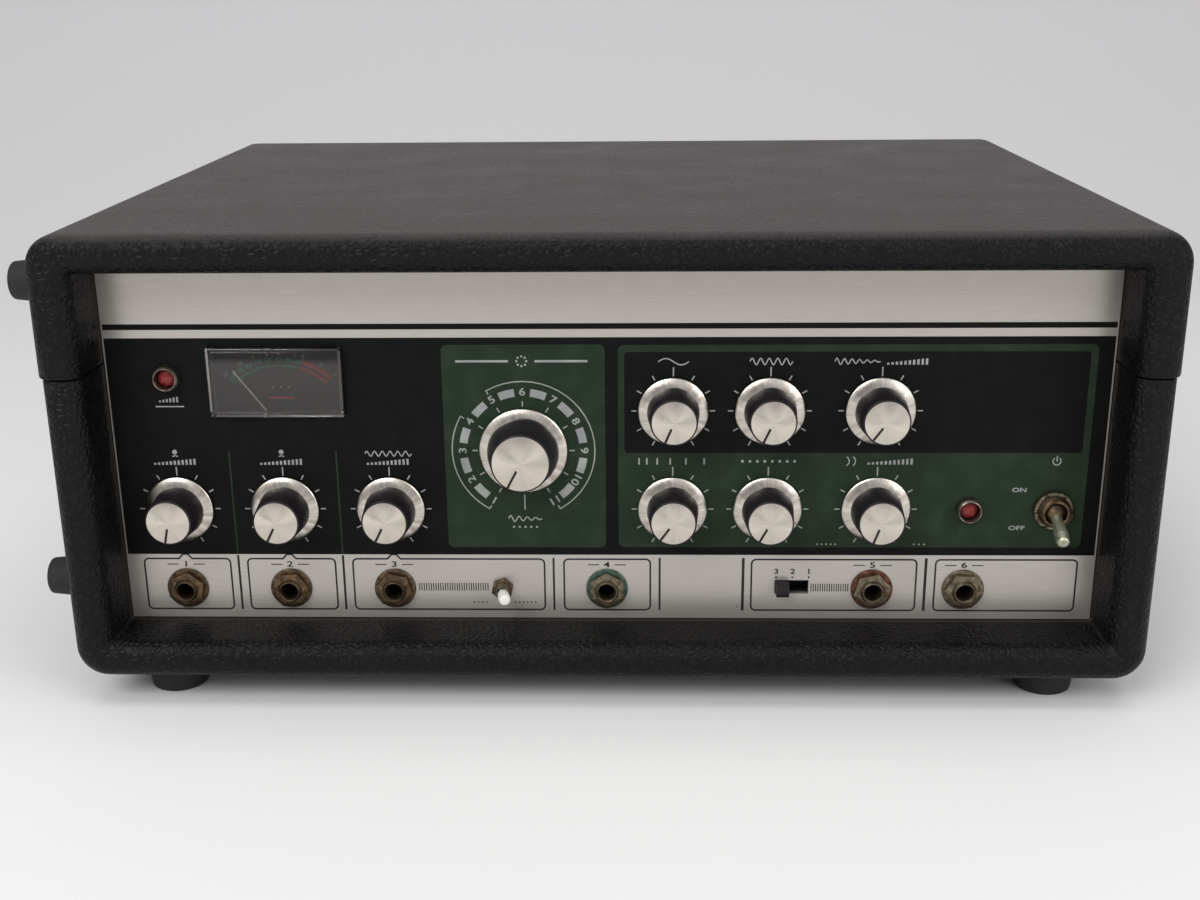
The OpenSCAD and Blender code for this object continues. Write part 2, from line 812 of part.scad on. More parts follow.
module lamp_bezels() {
    lens_r = lens_d / 2 + fit;
    bezel_r = bezel_d / 2;
    step = 1.2;
    bezel_h = 2.6;
    color(silver) for (l = lamps) on_panel(l[0], l[1]) rotate_extrude()
        polygon([[lens_r, -lamp_depth], [barrel_d / 2, -lamp_depth], [barrel_d / 2, 0],
            [bezel_r, 0], [bezel_r, step], [bezel_r - 0.9, bezel_h], [lens_r, bezel_h]]);
}

// A lens is a rod with a low dome
module lamp_lenses() {
    r = lens_d / 2;
    rim = 3.4;
    dome = 1.6;
    low = over - lamp_depth;
    arc = [for (a = [0:15:90]) [r * cos(a), rim + dome * sin(a)]];
    color([0.6, 0.05, 0.05]) for (l = lamps) on_panel(l[0], l[1])
        rotate_extrude() polygon(concat([[0, low], [r, low]], arc));
}

module power_switch() {
    throat = ball_d + 2 * clear;
    throat_len = 9;
    body = [14, 29, 20];
    color(steel) on_panel(toggle_col, low_row) difference() {
        union() {
            translate([0, 0, back - over]) cylinder(d = toggle_bush_d, h = toggle_out - back + over);
            translate([-body[0] / 2, -body[1] / 2, back - body[2]]) cube(body);
        }
        translate([0, 0, toggle_pivot - throat_len]) cylinder(d = throat, h = throat_len + toggle_out);
    }
}

// Bat lever: a ball on a cross pin in the bush, a short tail inside it and a tapered bat outside
module power_lever() {
    tip_d = 5.2;
    root_d = 3.2;
    tail_d = 2.6;
    tail = 5;
    trunnion_d = 1.6;
    trunnion_len = ball_d + clear;
    reach = toggle_len - tip_d / 2;
    color([0.75, 0.78, 0.70]) on_panel(toggle_col, low_row) translate([0, 0, toggle_pivot])
        rotate([toggle_tilt, 0, 0]) {
            sphere(d = ball_d);
            rotate([0, 90, 0]) cylinder(d = trunnion_d, h = trunnion_len, center = true);
            cylinder(d1 = root_d, d2 = tip_d, h = reach);
            translate([0, 0, reach]) sphere(d = tip_d);
            translate([0, 0, -tail]) cylinder(d = tail_d, h = tail);
        }
}

module mini_switch() {
    throat = mini_ball_d + 2 * clear;
    throat_len = 6;
    body = [13, 8, 10];
    color(steel) on_panel(mini_col, jack_row) difference() {
        union() {
            translate([0, 0, back - over]) cylinder(d = mini_bush_d, h = mini_out - back + over);
            translate([-body[0] / 2, -body[1] / 2, back - body[2]]) cube(body);
        }
        translate([0, 0, mini_pivot - throat_len]) cylinder(d = throat, h = throat_len + mini_out);
    }
}

// Small lever with a white sleeve over its end
module mini_lever() {
    sleeve_d = 4.8;
    sleeve_at = 3.2;
    sleeve_len = 5.4;
    sleeve_end = 1.2;
    trunnion_d = 1;
    trunnion_len = mini_ball_d + clear;
    root_d = 1.8;
    color([0.9, 0.9, 0.88]) on_panel(mini_col, jack_row) translate([0, 0, mini_pivot])
        rotate([0, mini_tilt, 0]) {
            sphere(d = mini_ball_d);
            rotate([90, 0, 0]) cylinder(d = trunnion_d, h = trunnion_len, center = true);
            cylinder(d = root_d, h = sleeve_at + over);
            translate([0, 0, sleeve_at]) cylinder(d1 = sleeve_d - 0.6, d2 = sleeve_d, h = sleeve_len);
            translate([0, 0, sleeve_at + sleeve_len])
                cylinder(d1 = sleeve_d, d2 = sleeve_d - 1.6, h = sleeve_end);
        }
}

channel = 6;
slider_out = 5.2;

module slide_switch() {
    wall = 2;
    ear = 6.35;
    color(steel) on_panel(slot_x + slot_len / 2, jack_row + slot_up) difference() {
        translate([-slot_len / 2 - ear, -slot_h / 2 - wall, back - channel - wall])
            cube([slot_len + 2 * ear, slot_h + 2 * wall, channel + wall]);
        translate([-slot_len / 2, -slot_h / 2, back - channel]) cube([slot_len, slot_h, channel + over]);
    }
}

// Slider at the left end of its slot
module slide_lever() {
    slider_h = slot_h - 2 * clear;
    foot = back - channel + clear;
    color(black) on_panel(slot_x + clear, jack_row + slot_up - slider_h / 2)
        translate([0, 0, foot]) cube([slider_w, slider_h, slider_out - foot]);
}

// ---- meter ----

case_wall = 1.5;
case_margin = 2;
pivot_drop = 7.1;
pivot_room = 6;
meter_depth = 24;
scale_t = 0.8;
scale_at = back - 3;
pivot_row = meter_row - window_h / 2 - pivot_drop;
pivot_pin_d = 1.2;
pivot_pin_len = 5;
hub_r = 2.4;
hub_drop = 2.6;
needle_t = 0.4;

// The meter's box behind the panel, with the boss of the movement
module meter_case() {
    half_w = window_w / 2 + case_margin;
    low = pivot_row - pivot_room;
    high = meter_row + window_h / 2 + case_margin;
    boss_r = 11;
    boss_up = 8;
    well_r = 4;
    color(black) on_panel() difference() {
        union() {
            difference() {
                translate([meter_col - half_w, low, back - meter_depth])
                    cube([2 * half_w, high - low, meter_depth]);
                translate([meter_col - half_w + case_wall, low + case_wall, back - meter_depth + case_wall])
                    cube([2 * (half_w - case_wall), high - low - 2 * case_wall, meter_depth]);
            }
            translate([meter_col, pivot_row + boss_up, back - meter_depth + over])
                cylinder(r = boss_r, h = scale_at - scale_t - back + meter_depth - over);
        }
        translate([meter_col, pivot_row, back - meter_depth / 2])
            cylinder(d = pivot_pin_d + 2 * run_fit, h = meter_depth);
        translate([meter_col, pivot_row, scale_at - hub_drop - clear])
            cylinder(r = well_r, h = meter_depth);
    }
}

// Dial plate, resting on the movement's boss
module meter_scale() {
    w = window_w - 2;
    low = pivot_row + 4.5;
    color([0.12, 0.12, 0.12]) on_panel() translate([meter_col - w / 2, low, scale_at - scale_t])
        cube([w, meter_row + window_h / 2 - low, scale_t]);
}

module meter_needle() {
    needle_w = 0.6;
    needle_at = scale_at + scale_t;
    hub_at = scale_at - hub_drop;
    color([0.9, 0.85, 0.8]) on_panel(meter_col, pivot_row) rotate(needle_rest) {
        translate([-needle_w / 2, 0, needle_at]) cube([needle_w, needle_len, needle_t]);
        translate([0, 0, hub_at]) cylinder(r = hub_r, h = needle_at + needle_t - hub_at);
        translate([0, 0, hub_at - pivot_pin_len])
            cylinder(d = pivot_pin_d, h = pivot_pin_len + over);
    }
}

// Clear window: a tray with its open side to the dial
module meter_lens() {
    w = window_w - 2 * hole_fit;
    h = window_h - 2 * hole_fit;
    t = case_wall;
    color([0.6, 0.7, 0.7, 0.4]) on_panel(meter_col, meter_row) difference() {
        translate([-w / 2, -h / 2, back]) cube([w, h, window_out - back]);
        translate([-w / 2 + t, -h / 2 + t, back - over])
            cube([w - 2 * t, h - 2 * t, window_out - back + over - t]);
    }
}

// ---- tape deck ----

bearing_d = 14;

module deck_plate() {
    color(steel) difference() {
        translate([-tray_w / 2, y_deck, z_deck]) cube([tray_w, tray_rear - y_deck, deck_t]);
        translate([capstan_col, y_capstan, z_deck - over])
            cylinder(d = bearing_d + 2 * fit, h = deck_t + 2 * over);
    }
}

module tape_tank() {
    w = tank_r - tank_l;
    d = tank_b - tank_f;
    slot = 4;
    tank_post_d = 8;
    color(silver) difference() {
        union() {
            difference() {
                translate([tank_l, tank_f, z_top]) cube([w, d, tank_h]);
                translate([tank_l + tank_wall, tank_f + tank_wall, z_top + tank_floor])
                    cube([w - 2 * tank_wall, d - 2 * tank_wall, tank_h]);
            }
            for (p = tank_posts) translate([p[0], p[1], z_top]) cylinder(d = tank_post_d, h = tank_h);
        }
        translate([exit_x - slot / 2, tank_f - over, z_top + tank_floor])
            cube([slot, tank_wall + 2 * over, tank_h]);
        translate([tank_r - tank_wall - over, pass_b - slot / 2, z_top + tank_floor])
            cube([tank_wall + 2 * over, slot, tank_h]);
        for (p = tank_posts) translate([p[0], p[1], z_top + tank_h - screw_len - over])
            cylinder(d = screw_d + 2 * fit, h = screw_len + 2 * over);
    }
}

cover_t = 3;
screw_d = 3;
screw_len = 9;
thumb_d = 10;
thumb_h = 4.5;
thumb_edge = 0.7;

module tank_cover() {
    color([0.7, 0.8, 0.8, 0.35]) difference() {
        translate([tank_l, tank_f, z_top + tank_h]) cube([tank_r - tank_l, tank_b - tank_f, cover_t]);
        for (p = tank_posts) translate([p[0], p[1], z_top + tank_h - over])
            cylinder(d = screw_d + 2 * hole_fit, h = cover_t + 2 * over);
    }
}

module tank_screws() {
    z = z_top + tank_h + cover_t;
    color(silver) for (p = tank_posts) translate([p[0], p[1], z]) {
        cylinder(d = thumb_d, h = thumb_h);
        translate([0, 0, thumb_h])
            cylinder(d1 = thumb_d, d2 = thumb_d - 2 * thumb_edge, h = thumb_edge);
        translate([0, 0, -cover_t - screw_len]) cylinder(d = screw_d, h = cover_t + screw_len);
    }
}

// Plan of a stretch of tape from (x0, y) to (x1, y), and of one along y
module run_x(x0, x1, y) {
    translate([min(x0, x1), y - tape_t / 2]) square([abs(x1 - x0), tape_t]);
}
module run_y(x, y0, y1) {
    translate([x - tape_t / 2, min(y0, y1)]) square([tape_t, abs(y1 - y0)]);
}

// Plan of a bend of radius r about (x, y), kept where the box from its centre by (w, h) lies
module bend(x, y, r, w, h) {
    translate([x, y]) intersection() {
        difference() {
            circle(r + tape_t / 2);
            circle(r - tape_t / 2);
        }
        translate([min(w, 0), min(h, 0)]) square([abs(w), abs(h)]);
    }
}

// Half a turn that opens to the left (side 1) or to the right (side -1)
module half_turn(x, y, side) {
    for (v = [-1, 1]) bend(x, y, turn, side * 2 * turn, v * 2 * turn);
}

// Endless loop: past the heads, round two guides, back and forth in the tank, out at its front
module tape_loop() {
    g = guide_r;
    color([0.25, 0.14, 0.08]) translate([0, 0, z_tape]) linear_extrude(tape_w) {
        run_x(exit_x + g, return_x - g, y_tape);
        bend(return_x - g, y_tape + g, g, 2 * g, -2 * g);
        run_y(return_x, y_tape + g, pass_b - g);
        bend(return_x - g, pass_b - g, g, 2 * g, 2 * g);
        run_x(return_x - g, pass_l, pass_b);
        for (i = [1:passes - 2]) run_x(pass_l, pass_r, pass_b - i * pass_gap);
        for (i = [0:2:passes - 2]) half_turn(pass_l, pass_b - i * pass_gap - turn, -1);
        for (i = [1:2:passes - 2]) half_turn(pass_r, pass_b - i * pass_gap - turn, 1);
        run_x(exit_x + g, pass_r, pass_f);
        bend(exit_x + g, pass_f - g, g, -2 * g, 2 * g);
        run_y(exit_x, y_tape + g, pass_f - g);
        bend(exit_x + g, y_tape + g, g, -2 * g, -2 * g);
    }
}

mount_t = 1.4;
mount_side = 5;
mount_w = 17;
tape_gap = 0.2;
nose_r = 9;
nose_len = 2;

module head_mount() {
    x0 = heads[0] - head_w / 2 - mount_side;
    x1 = heads[4] + head_w / 2 + mount_side;
    y1 = y_tape - tape_t / 2 - tape_gap - nose_len - over;
    color(silver) translate([x0, y1 - mount_w, z_top]) cube([x1 - x0, mount_w, mount_t]);
}

// Plan of a head: a square can with a rounded face to the tape
module head_plan() {
    face = y_tape - tape_t / 2 - tape_gap;
    translate([-head_w / 2, face - nose_len - head_d]) square([head_w, head_d]);
    intersection() {
        translate([0, face - nose_r]) circle(nose_r);
        translate([-head_w / 2 + 1, face - nose_len - over]) square([head_w - 2, nose_len + over]);
    }
}

module tape_heads() {
    color(steel) for (x = heads)
        translate([x, 0, z_top + mount_t]) linear_extrude(head_h) head_plan();
}

// Felt pads on sprung arms hold the tape against the record and playback heads
module felt_pads() {
    pad_y = y_tape + tape_t / 2 + tape_gap;
    felt = 3;
    arm_w = 4;
    arm_t = 0.6;
    foot = 8;
    color([0.7, 0.68, 0.6]) for (i = [1:4]) translate([heads[i], pad_y, z_top]) {
        translate([-felt, 0, tape_lift]) cube([2 * felt, felt, tape_w]);
        translate([-arm_w / 2, felt - 0.1, 0]) cube([arm_w, arm_t, tape_lift + tape_w]);
        translate([-foot / 2, felt - 0.1, 0]) cube([foot, foot, over]);
    }
}

flange_side = 2;
flange_t = 1.6;
flange_gap = 0.4;
post_over = 6;

// Flanged guides where the tape turns, and the plain post of the pinch arm
module guide_posts() {
    flange_d = guide_d + 2 * flange_side;
    upper = tape_lift + tape_w + flange_gap;
    color(silver) {
        for (p = [[exit_x + guide_r, y_tape + guide_r], [return_x - guide_r, y_tape + guide_r],
            [return_x - guide_r, pass_b - guide_r]]) translate([p[0], p[1], z_top]) {
            cylinder(d = guide_d, h = upper + flange_t);
            cylinder(d = flange_d, h = tape_lift - flange_gap);
            translate([0, 0, upper]) cylinder(d = flange_d, h = flange_t);
        }
        translate([arm_x, arm_y, z_top]) cylinder(d = post_d, h = z_arm - z_top + post_over);
        translate([arm_x, arm_y, z_top])
            cylinder(d = post_d + 2 * flange_side, h = z_arm - z_top - clear);
    }
}

// ---- drive ----

boss_d = 18;
boss_h = 3;
capstan_end = 4;
capstan_rise = 17;

module capstan() {
    low = z_fly - capstan_end;
    color(silver) translate([capstan_col, y_capstan, 0]) {
        translate([0, 0, low]) cylinder(d = capstan_d, h = z_top + capstan_rise - low);
        translate([0, 0, z_fly]) cylinder(d = flywheel_d, h = fly_h);
        translate([0, 0, z_fly - boss_h]) cylinder(d = boss_d, h = boss_h + over);
    }
}

bearing_drop = 6;
bearing_lip = 0.8;

module capstan_bearing() {
    bore = capstan_d + 2 * run_fit;
    low = z_deck - bearing_drop;
    color([0.7, 0.55, 0.3]) translate([capstan_col, y_capstan, 0]) difference() {
        union() {
            translate([0, 0, low]) cylinder(d = bearing_d, h = z_top - low);
            translate([0, 0, z_top]) cylinder(d = bearing_d - 2 * flange_side, h = bearing_lip);
        }
        translate([0, 0, low - over]) cylinder(d = bore, h = z_top + bearing_lip - low + 2 * over);
    }
}

shaft_motor_d = 5;
shaft_in = 12;
pulley_rim = 1.5;

// Motor with a mounting plate on four pillars under the deck
module motor() {
    px = motor_d / 2 + 7;
    py = motor_d / 2 - 5;
    edge = 6;
    plate = 2.5;
    pillar_d = 7;
    well = shaft_in + 2;
    color(steel) translate([capstan_col, y_motor, 0]) difference() {
        union() {
            translate([0, 0, z_motor_top - motor_h]) cylinder(d = motor_d, h = motor_h);
            translate([-px - edge, -py - edge, z_motor_top])
                cube([2 * (px + edge), 2 * (py + edge), plate]);
            for (x = [-px, px]) for (y = [-py, py])
                translate([x, y, z_motor_top]) cylinder(d = pillar_d, h = z_deck - z_motor_top);
        }
        translate([0, 0, z_motor_top - well])
            cylinder(d = shaft_motor_d + 2 * run_fit, h = well + plate + over);
    }
}

module motor_pulley() {
    low = z_motor_top - shaft_in;
    color([0.7, 0.55, 0.3]) translate([capstan_col, y_motor, 0]) {
        translate([0, 0, z_fly]) cylinder(d = pulley_d, h = fly_h);
        for (z = [z_fly, z_fly + fly_h - pulley_rim])
            translate([0, 0, z]) cylinder(d = pulley_d + 2 * pulley_rim, h = pulley_rim);
        translate([0, 0, low]) cylinder(d = shaft_motor_d, h = z_fly - low + over);
    }
}

// Outline round the flywheel and the pulley, t outside their rims. The straight runs pull in
// by a hair, so that they cross both rounds cleanly.
module belt_outline(t) {
    tuck = 0.004;
    r1 = flywheel_d / 2 + t;
    r2 = pulley_d / 2 + t;
    a = acos((r1 - r2) / motor_reach);
    circle(r1);
    translate([0, motor_reach]) circle(r2);
    q1 = r1 - tuck;
    q2 = r2 - tuck;
    polygon([[q1 * sin(a), q1 * cos(a)], [q2 * sin(a), motor_reach + q2 * cos(a)],
        [-q2 * sin(a), motor_reach + q2 * cos(a)], [-q1 * sin(a), q1 * cos(a)]]);
}

module drive_belt() {
    color(rubber) translate([capstan_col, y_capstan, z_fly + (fly_h - belt_h) / 2])
        linear_extrude(belt_h) difference() {
            belt_outline(fit + belt_t);
            belt_outline(fit);
        }
}

// Arm on its post, with the axle that carries the roller
module pinch_arm() {
    dx = capstan_col - arm_x;
    dy = y_roller - arm_y;
    len = norm([dx, dy]);
    tail = [16, 8, arm_t];
    color(steel) {
        translate([arm_x, arm_y, z_arm]) difference() {
            union() {
                rotate(atan2(dy, dx)) translate([0, -arm_w / 2, 0]) cube([len, arm_w, arm_t]);
                cylinder(d = hub_d, h = hub_h);
                translate([dx, dy, 0]) cylinder(d = arm_w, h = arm_t);
                translate([0, -tail[1] / 2, 0]) cube(tail);
            }
            translate([0, 0, -over]) cylinder(d = post_d + 2 * run_fit, h = hub_h + 2 * over);
        }
        translate([capstan_col, y_roller, z_roller]) cylinder(d = pin_d, h = z_arm - z_roller + over);
    }
}

module pinch_roller() {
    color(rubber) translate([capstan_col, y_roller, z_roller]) difference() {
        cylinder(d = roller_d, h = roller_h);
        translate([0, 0, -over]) cylinder(d = pin_d + 2 * run_fit, h = roller_h + 2 * over);
    }
}

// Solenoid behind the tail of the arm, with its plunger drawn in, clear of the tail's swing
module solenoid() {
    body = [18, 30, 18];
    beside_arm = 9;
    behind_arm = 8;
    at_x = arm_x + beside_arm;
    at_y = arm_y + behind_arm;
    plunger_d = 4;
    plunger_out = 1.2;
    color([0.5, 0.45, 0.35]) {
        translate([at_x, at_y, z_top]) cube(body);
        translate([at_x + plunger_d, at_y - plunger_out, z_arm]) rotate([-90, 0, 0])
            cylinder(d = plunger_d, h = plunger_out + over);
    }
}

// ---- electronics on the chassis floor ----

z_tray = z_floor + sheet_t;
side_room = 14;
y_board = y_panel + board_back;

// A board on four pillars, with rows of capacitors and a strip of small parts
module board(x, w, d, cols) {
    board_t = 1.6;
    pillar_d = 6;
    corner = 5;
    tall_d = 9;
    tall_h = 16;
    short = [6.5, 12];
    block = [6, 4, 5];
    row = d / 2 - block[1];
    translate([x, y_board, z_tray]) {
        translate([0, 0, board_lift]) cube([w, d, board_t]);
        for (i = [corner, w - corner]) for (j = [corner, d - corner])
            translate([i, j, 0]) cylinder(d = pillar_d, h = board_lift);
        for (i = [1:cols])
            translate([i * w / (cols + 1), d / 2, board_lift + board_t - fit]) {
                translate([0, -row / 2, 0]) cylinder(d = tall_d, h = tall_h);
                translate([0, row / 2, 0]) cylinder(d = short[0], h = short[1]);
                translate([-block[0] / 2, -block[1] / 2, 0]) cube(block);
            }
    }
}

// The transformer's foot stands out past its core; the boards lie left of it
core_foot = 8;
core_x = tray_w / 2 - side_room - core_w;

module circuit_boards() {
    board_gap = 2;
    color([0.45, 0.40, 0.22]) {
        board(-tray_w / 2 + side_room, left_board_w, left_board_d, 7);
        board(core_x - core_foot - board_gap - right_board_w, right_board_w, right_board_d, 4);
    }
}

module transformer() {
    coil_out = 8;
    foot_t = 2;
    color(steel) translate([core_x, y_board + coil_out, z_tray]) {
        cube([core_w, core_d, core_h]);
        translate([coil_out, -coil_out, coil_out])
            cube([core_w - 2 * coil_out, core_d + 2 * coil_out, core_h - 2 * coil_out]);
        translate([-core_foot, 0, 0]) cube([core_w + 2 * core_foot, core_d, foot_t]);
    }
}

// Spring reverb: a shallow steel box on four bushes, with its two springs and their carriers
module reverb_tank() {
    lift = 2.5;
    wall = 1.2;
    rear_room = 16;
    carrier_room = 28;
    carrier = [6, reverb_d - carrier_room, 14];
    carrier_at = 18;
    spring_d = 5;
    spring_y = 12.5;
    bush_at = 13;
    bush_foot_d = 9;
    color([0.55, 0.57, 0.58])
        translate([-tray_w / 2 + side_room, rear_in - rear_room - reverb_d / 2, z_tray + lift]) {
            difference() {
                translate([0, -reverb_d / 2, 0]) cube([reverb_w, reverb_d, reverb_h]);
                translate([wall, wall - reverb_d / 2, wall])
                    cube([reverb_w - 2 * wall, reverb_d - 2 * wall, reverb_h]);
            }
            for (x = [carrier_at, reverb_w - carrier_at - carrier[0]])
                translate([x, -carrier[1] / 2, over]) cube(carrier);
            for (y = [-spring_y, spring_y])
                translate([carrier_at + over, y, carrier[2] / 2 + over]) rotate([0, 90, 0])
                    cylinder(d = spring_d, h = reverb_w - 2 * (carrier_at + over));
            for (x = [bush_at, reverb_w - bush_at])
                for (y = [bush_at - reverb_d / 2, reverb_d / 2 - bush_at])
                    translate([x, y, -lift]) cylinder(d = bush_foot_d, h = lift);
        }
}

// ---- build ----

lower_cabinet();
lid_shell();
front_panel();
sub_panel();
chassis_tray();
rear_panel();
base_feet();
side_feet_lower();
side_feet_upper();
handle_strap();
handle_caps();
lid_pins();
knob_mic_one();
knob_mic_two();
knob_instrument();
knob_bass();
knob_treble();
knob_reverb();
knob_rate();
knob_intensity();
knob_echo();
knob_mode();
pot_bodies();
mode_switch();
panel_nuts();
meter_case();
meter_scale();
meter_needle();
meter_lens();
lamp_bezels();
lamp_lenses();
jack_sockets();
jack_nuts();
power_switch();
power_lever();
mini_switch();
mini_lever();
slide_switch();
slide_lever();
deck_plate();
tape_tank();
tank_cover();
tank_screws();
tape_loop();
head_mount();
tape_heads();
guide_posts();
felt_pads();
capstan();
capstan_bearing();
motor();
motor_pulley();
drive_belt();
pinch_arm();
pinch_roller();
solenoid();
transformer();
circuit_boards();
reverb_tank();
rear_fittings();
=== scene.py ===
"""A tape echo unit: a vinyl covered case with a recessed control panel, and a tape deck under its lid.

Blender 4.5. Metres, +X to the right, +Y to the rear, +Z up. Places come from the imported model.
"""

import json
import math

import bmesh
import bpy
from mathutils import Matrix, Vector


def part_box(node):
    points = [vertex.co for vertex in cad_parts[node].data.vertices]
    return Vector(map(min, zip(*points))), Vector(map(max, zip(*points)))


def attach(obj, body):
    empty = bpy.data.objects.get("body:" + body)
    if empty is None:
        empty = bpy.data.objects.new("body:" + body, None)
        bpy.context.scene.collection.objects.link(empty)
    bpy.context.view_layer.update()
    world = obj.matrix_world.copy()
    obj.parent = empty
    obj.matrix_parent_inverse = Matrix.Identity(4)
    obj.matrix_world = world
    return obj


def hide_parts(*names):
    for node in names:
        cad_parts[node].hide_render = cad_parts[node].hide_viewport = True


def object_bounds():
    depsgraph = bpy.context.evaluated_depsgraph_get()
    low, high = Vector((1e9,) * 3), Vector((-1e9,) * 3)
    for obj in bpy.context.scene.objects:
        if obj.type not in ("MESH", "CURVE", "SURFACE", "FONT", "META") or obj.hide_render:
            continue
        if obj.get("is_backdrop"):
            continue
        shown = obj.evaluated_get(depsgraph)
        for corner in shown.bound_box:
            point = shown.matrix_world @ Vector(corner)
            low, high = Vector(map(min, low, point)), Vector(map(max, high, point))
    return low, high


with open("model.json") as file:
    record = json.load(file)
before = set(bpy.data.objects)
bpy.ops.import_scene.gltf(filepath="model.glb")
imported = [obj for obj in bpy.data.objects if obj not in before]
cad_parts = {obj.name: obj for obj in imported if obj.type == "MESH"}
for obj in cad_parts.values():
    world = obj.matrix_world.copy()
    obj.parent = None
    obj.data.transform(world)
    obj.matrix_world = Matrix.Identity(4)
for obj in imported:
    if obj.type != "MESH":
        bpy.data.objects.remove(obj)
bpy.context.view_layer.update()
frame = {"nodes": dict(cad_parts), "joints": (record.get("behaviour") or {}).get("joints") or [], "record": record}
MM = 0.001

# ---- Camera ----
# A short telephoto view from slightly above the lid, a little right of the unit's middle.

CAMERA_PLACE = (0.0134, -0.6642, 0.2719)
CAMERA_LENS, CAMERA_SENSOR = 44.17, 36
CAMERA_PITCH, CAMERA_ROLL, CAMERA_YAW = -0.3134, 0.0088, 0.0263


def rolled(degrees, axis):
    return Matrix.Rotation(math.radians(degrees), 4, axis)


camera = bpy.data.objects.new("camera", bpy.data.cameras.new("camera"))
camera.data.sensor_width = CAMERA_SENSOR
camera.data.lens = CAMERA_LENS
turn = Matrix.Rotation(CAMERA_YAW, 4, "Z") @ Matrix.Rotation(CAMERA_ROLL, 4, "Y")
turn = turn @ Matrix.Rotation(CAMERA_PITCH, 4, "X") @ rolled(90, "X")
camera.matrix_world = Matrix.Translation(CAMERA_PLACE) @ turn
bpy.context.scene.collection.objects.link(camera)
bpy.context.scene.camera = camera
bpy.context.scene.view_settings.view_transform = "Standard"

# ---- Case: lower cabinet and lid ----
# Two halves of a plywood box under black grained vinyl. The cloth is glued over the rounded
# front and rear edges and turned in at the mouth and along the seam.

CORNER_RADIUS, EDGE_RADIUS = 12 * MM, 6.5 * MM
MOUTH_FOLD, SEAM_FOLD = 1.6 * MM, 0.7 * MM
VINYL_GRAIN, VINYL_PORES, VINYL_PATCH, VINYL_WRINKLE = 2.6 * MM, 0.5 * MM, 38 * MM, 7 * MM
PLY_GRAIN = 1.5 * MM
# Heights where the lid's pale dust, which is also a painted sheen of grazing reflection, fades in
SHEEN_DUST_FROM, SHEEN_DUST_FULL = 0.15, 0.18
PANEL_GAP = 0.5 * MM
REAR_OPENING = (0.150, 0.026, 0.100)

tub_low, tub_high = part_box("lower_cabinet")
lid_low, lid_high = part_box("lid_shell")
panel_low, panel_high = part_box("front_panel")
case_bottom = tub_low.z
panel_face = panel_low.y
mouth_half = panel_high.x + PANEL_GAP
tub_floor = panel_low.z - PANEL_GAP - case_bottom
lid_board = lid_high.z - panel_high.z - PANEL_GAP
rear_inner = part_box("rear_panel")[1].y


def colour(text):
    """Linear RGBA of an sRGB hex value such as #1c1b1c."""
    parts = [int(text[i:i + 2], 16) / 255 for i in (1, 3, 5)]
    return [p / 12.92 if p <= 0.04045 else ((p + 0.055) / 1.055) ** 2.4 for p in parts] + [1]


def plug(node, inputs):
    """Sets inputs by name or in order: nodes and outputs are linked, hex values are colours."""
    for name, value in inputs.items() if isinstance(inputs, dict) else enumerate(inputs):
        if isinstance(value, bpy.types.Node):
            value = next(output for output in value.outputs if output.enabled)
        if isinstance(value, bpy.types.NodeSocket):
            node.id_data.links.new(value, node.inputs[name])
        else:
            node.inputs[name].default_value = colour(value) if isinstance(value, str) else value
    return node


def add(near, kind, inputs={}, **settings):
    """Adds a shader node to the tree of another one, with its settings and inputs."""
    node = near.id_data.nodes.new("ShaderNode" + kind)
    for name, value in settings.items():
        setattr(node, name, value)
    return plug(node, inputs)


def skin(shader, base, roughness=None, normal=None):
    """Plugs a colour, and a roughness and a relief if there are any, into a surface."""
    inputs = {"Base Color": base, "Roughness": roughness, "Normal": normal}
    plug(shader, {name: value for name, value in inputs.items() if value is not None})


def material(name, surface):
    """A new material, its surface shader with these inputs set, and its object coordinates."""
    made = bpy.data.materials.new(name)
    made.use_nodes = True
    shader = plug(made.node_tree.nodes["Principled BSDF"], surface)
    return made, shader, add(shader, "TexCoord").outputs["Object"]


def clouded(name, surface, clouds, colours, dull=None, relief=None, contrast=None, stretch=None):
    """A material whose colour and roughness follow clouds of this scale and detail.

    Its relief has a distance and a strength, and a scale and detail if it has its own grain.
    """
    made, shader, where = material(name, surface)
    along = add(where, "Mapping", {"Vector": where, "Scale": stretch}) if stretch else where
    cloud = add(where, "TexNoise", {"Vector": along, "Scale": clouds[0], "Detail": clouds[1]})
    tone = add(where, "MapRange", (cloud, *contrast)) if contrast else cloud
    skin(shader, add(where, "Mix", {0: tone, 6: colours[0], 7: colours[1]}, data_type="RGBA"))
    if dull:
        plug(shader, {"Roughness": add(where, "MapRange", (cloud, *dull))})
    if relief:
        distance, strength, *own = relief
        grain = cloud
        if own:
            grain = add(where, "TexNoise", {"Vector": where, "Scale": own[0], "Detail": own[1]})
        raised = add(where, "Bump", {"Height": grain, "Distance": distance, "Strength": strength})
        plug(shader, {"Normal": raised})
    return made


def walls(a, b, n):
    """Faces between two rings of n points that start at vertices a and b."""
    return [[a + i, a + (i + 1) % n, b + (i + 1) % n, b + i] for i in range(n)]


def crisp(made, smooth=35):
    """Smooth shading, but for edges sharper than the angle."""
    made.data.shade_smooth()
    made.data.set_sharp_from_angle(angle=math.radians(smooth))
    return made


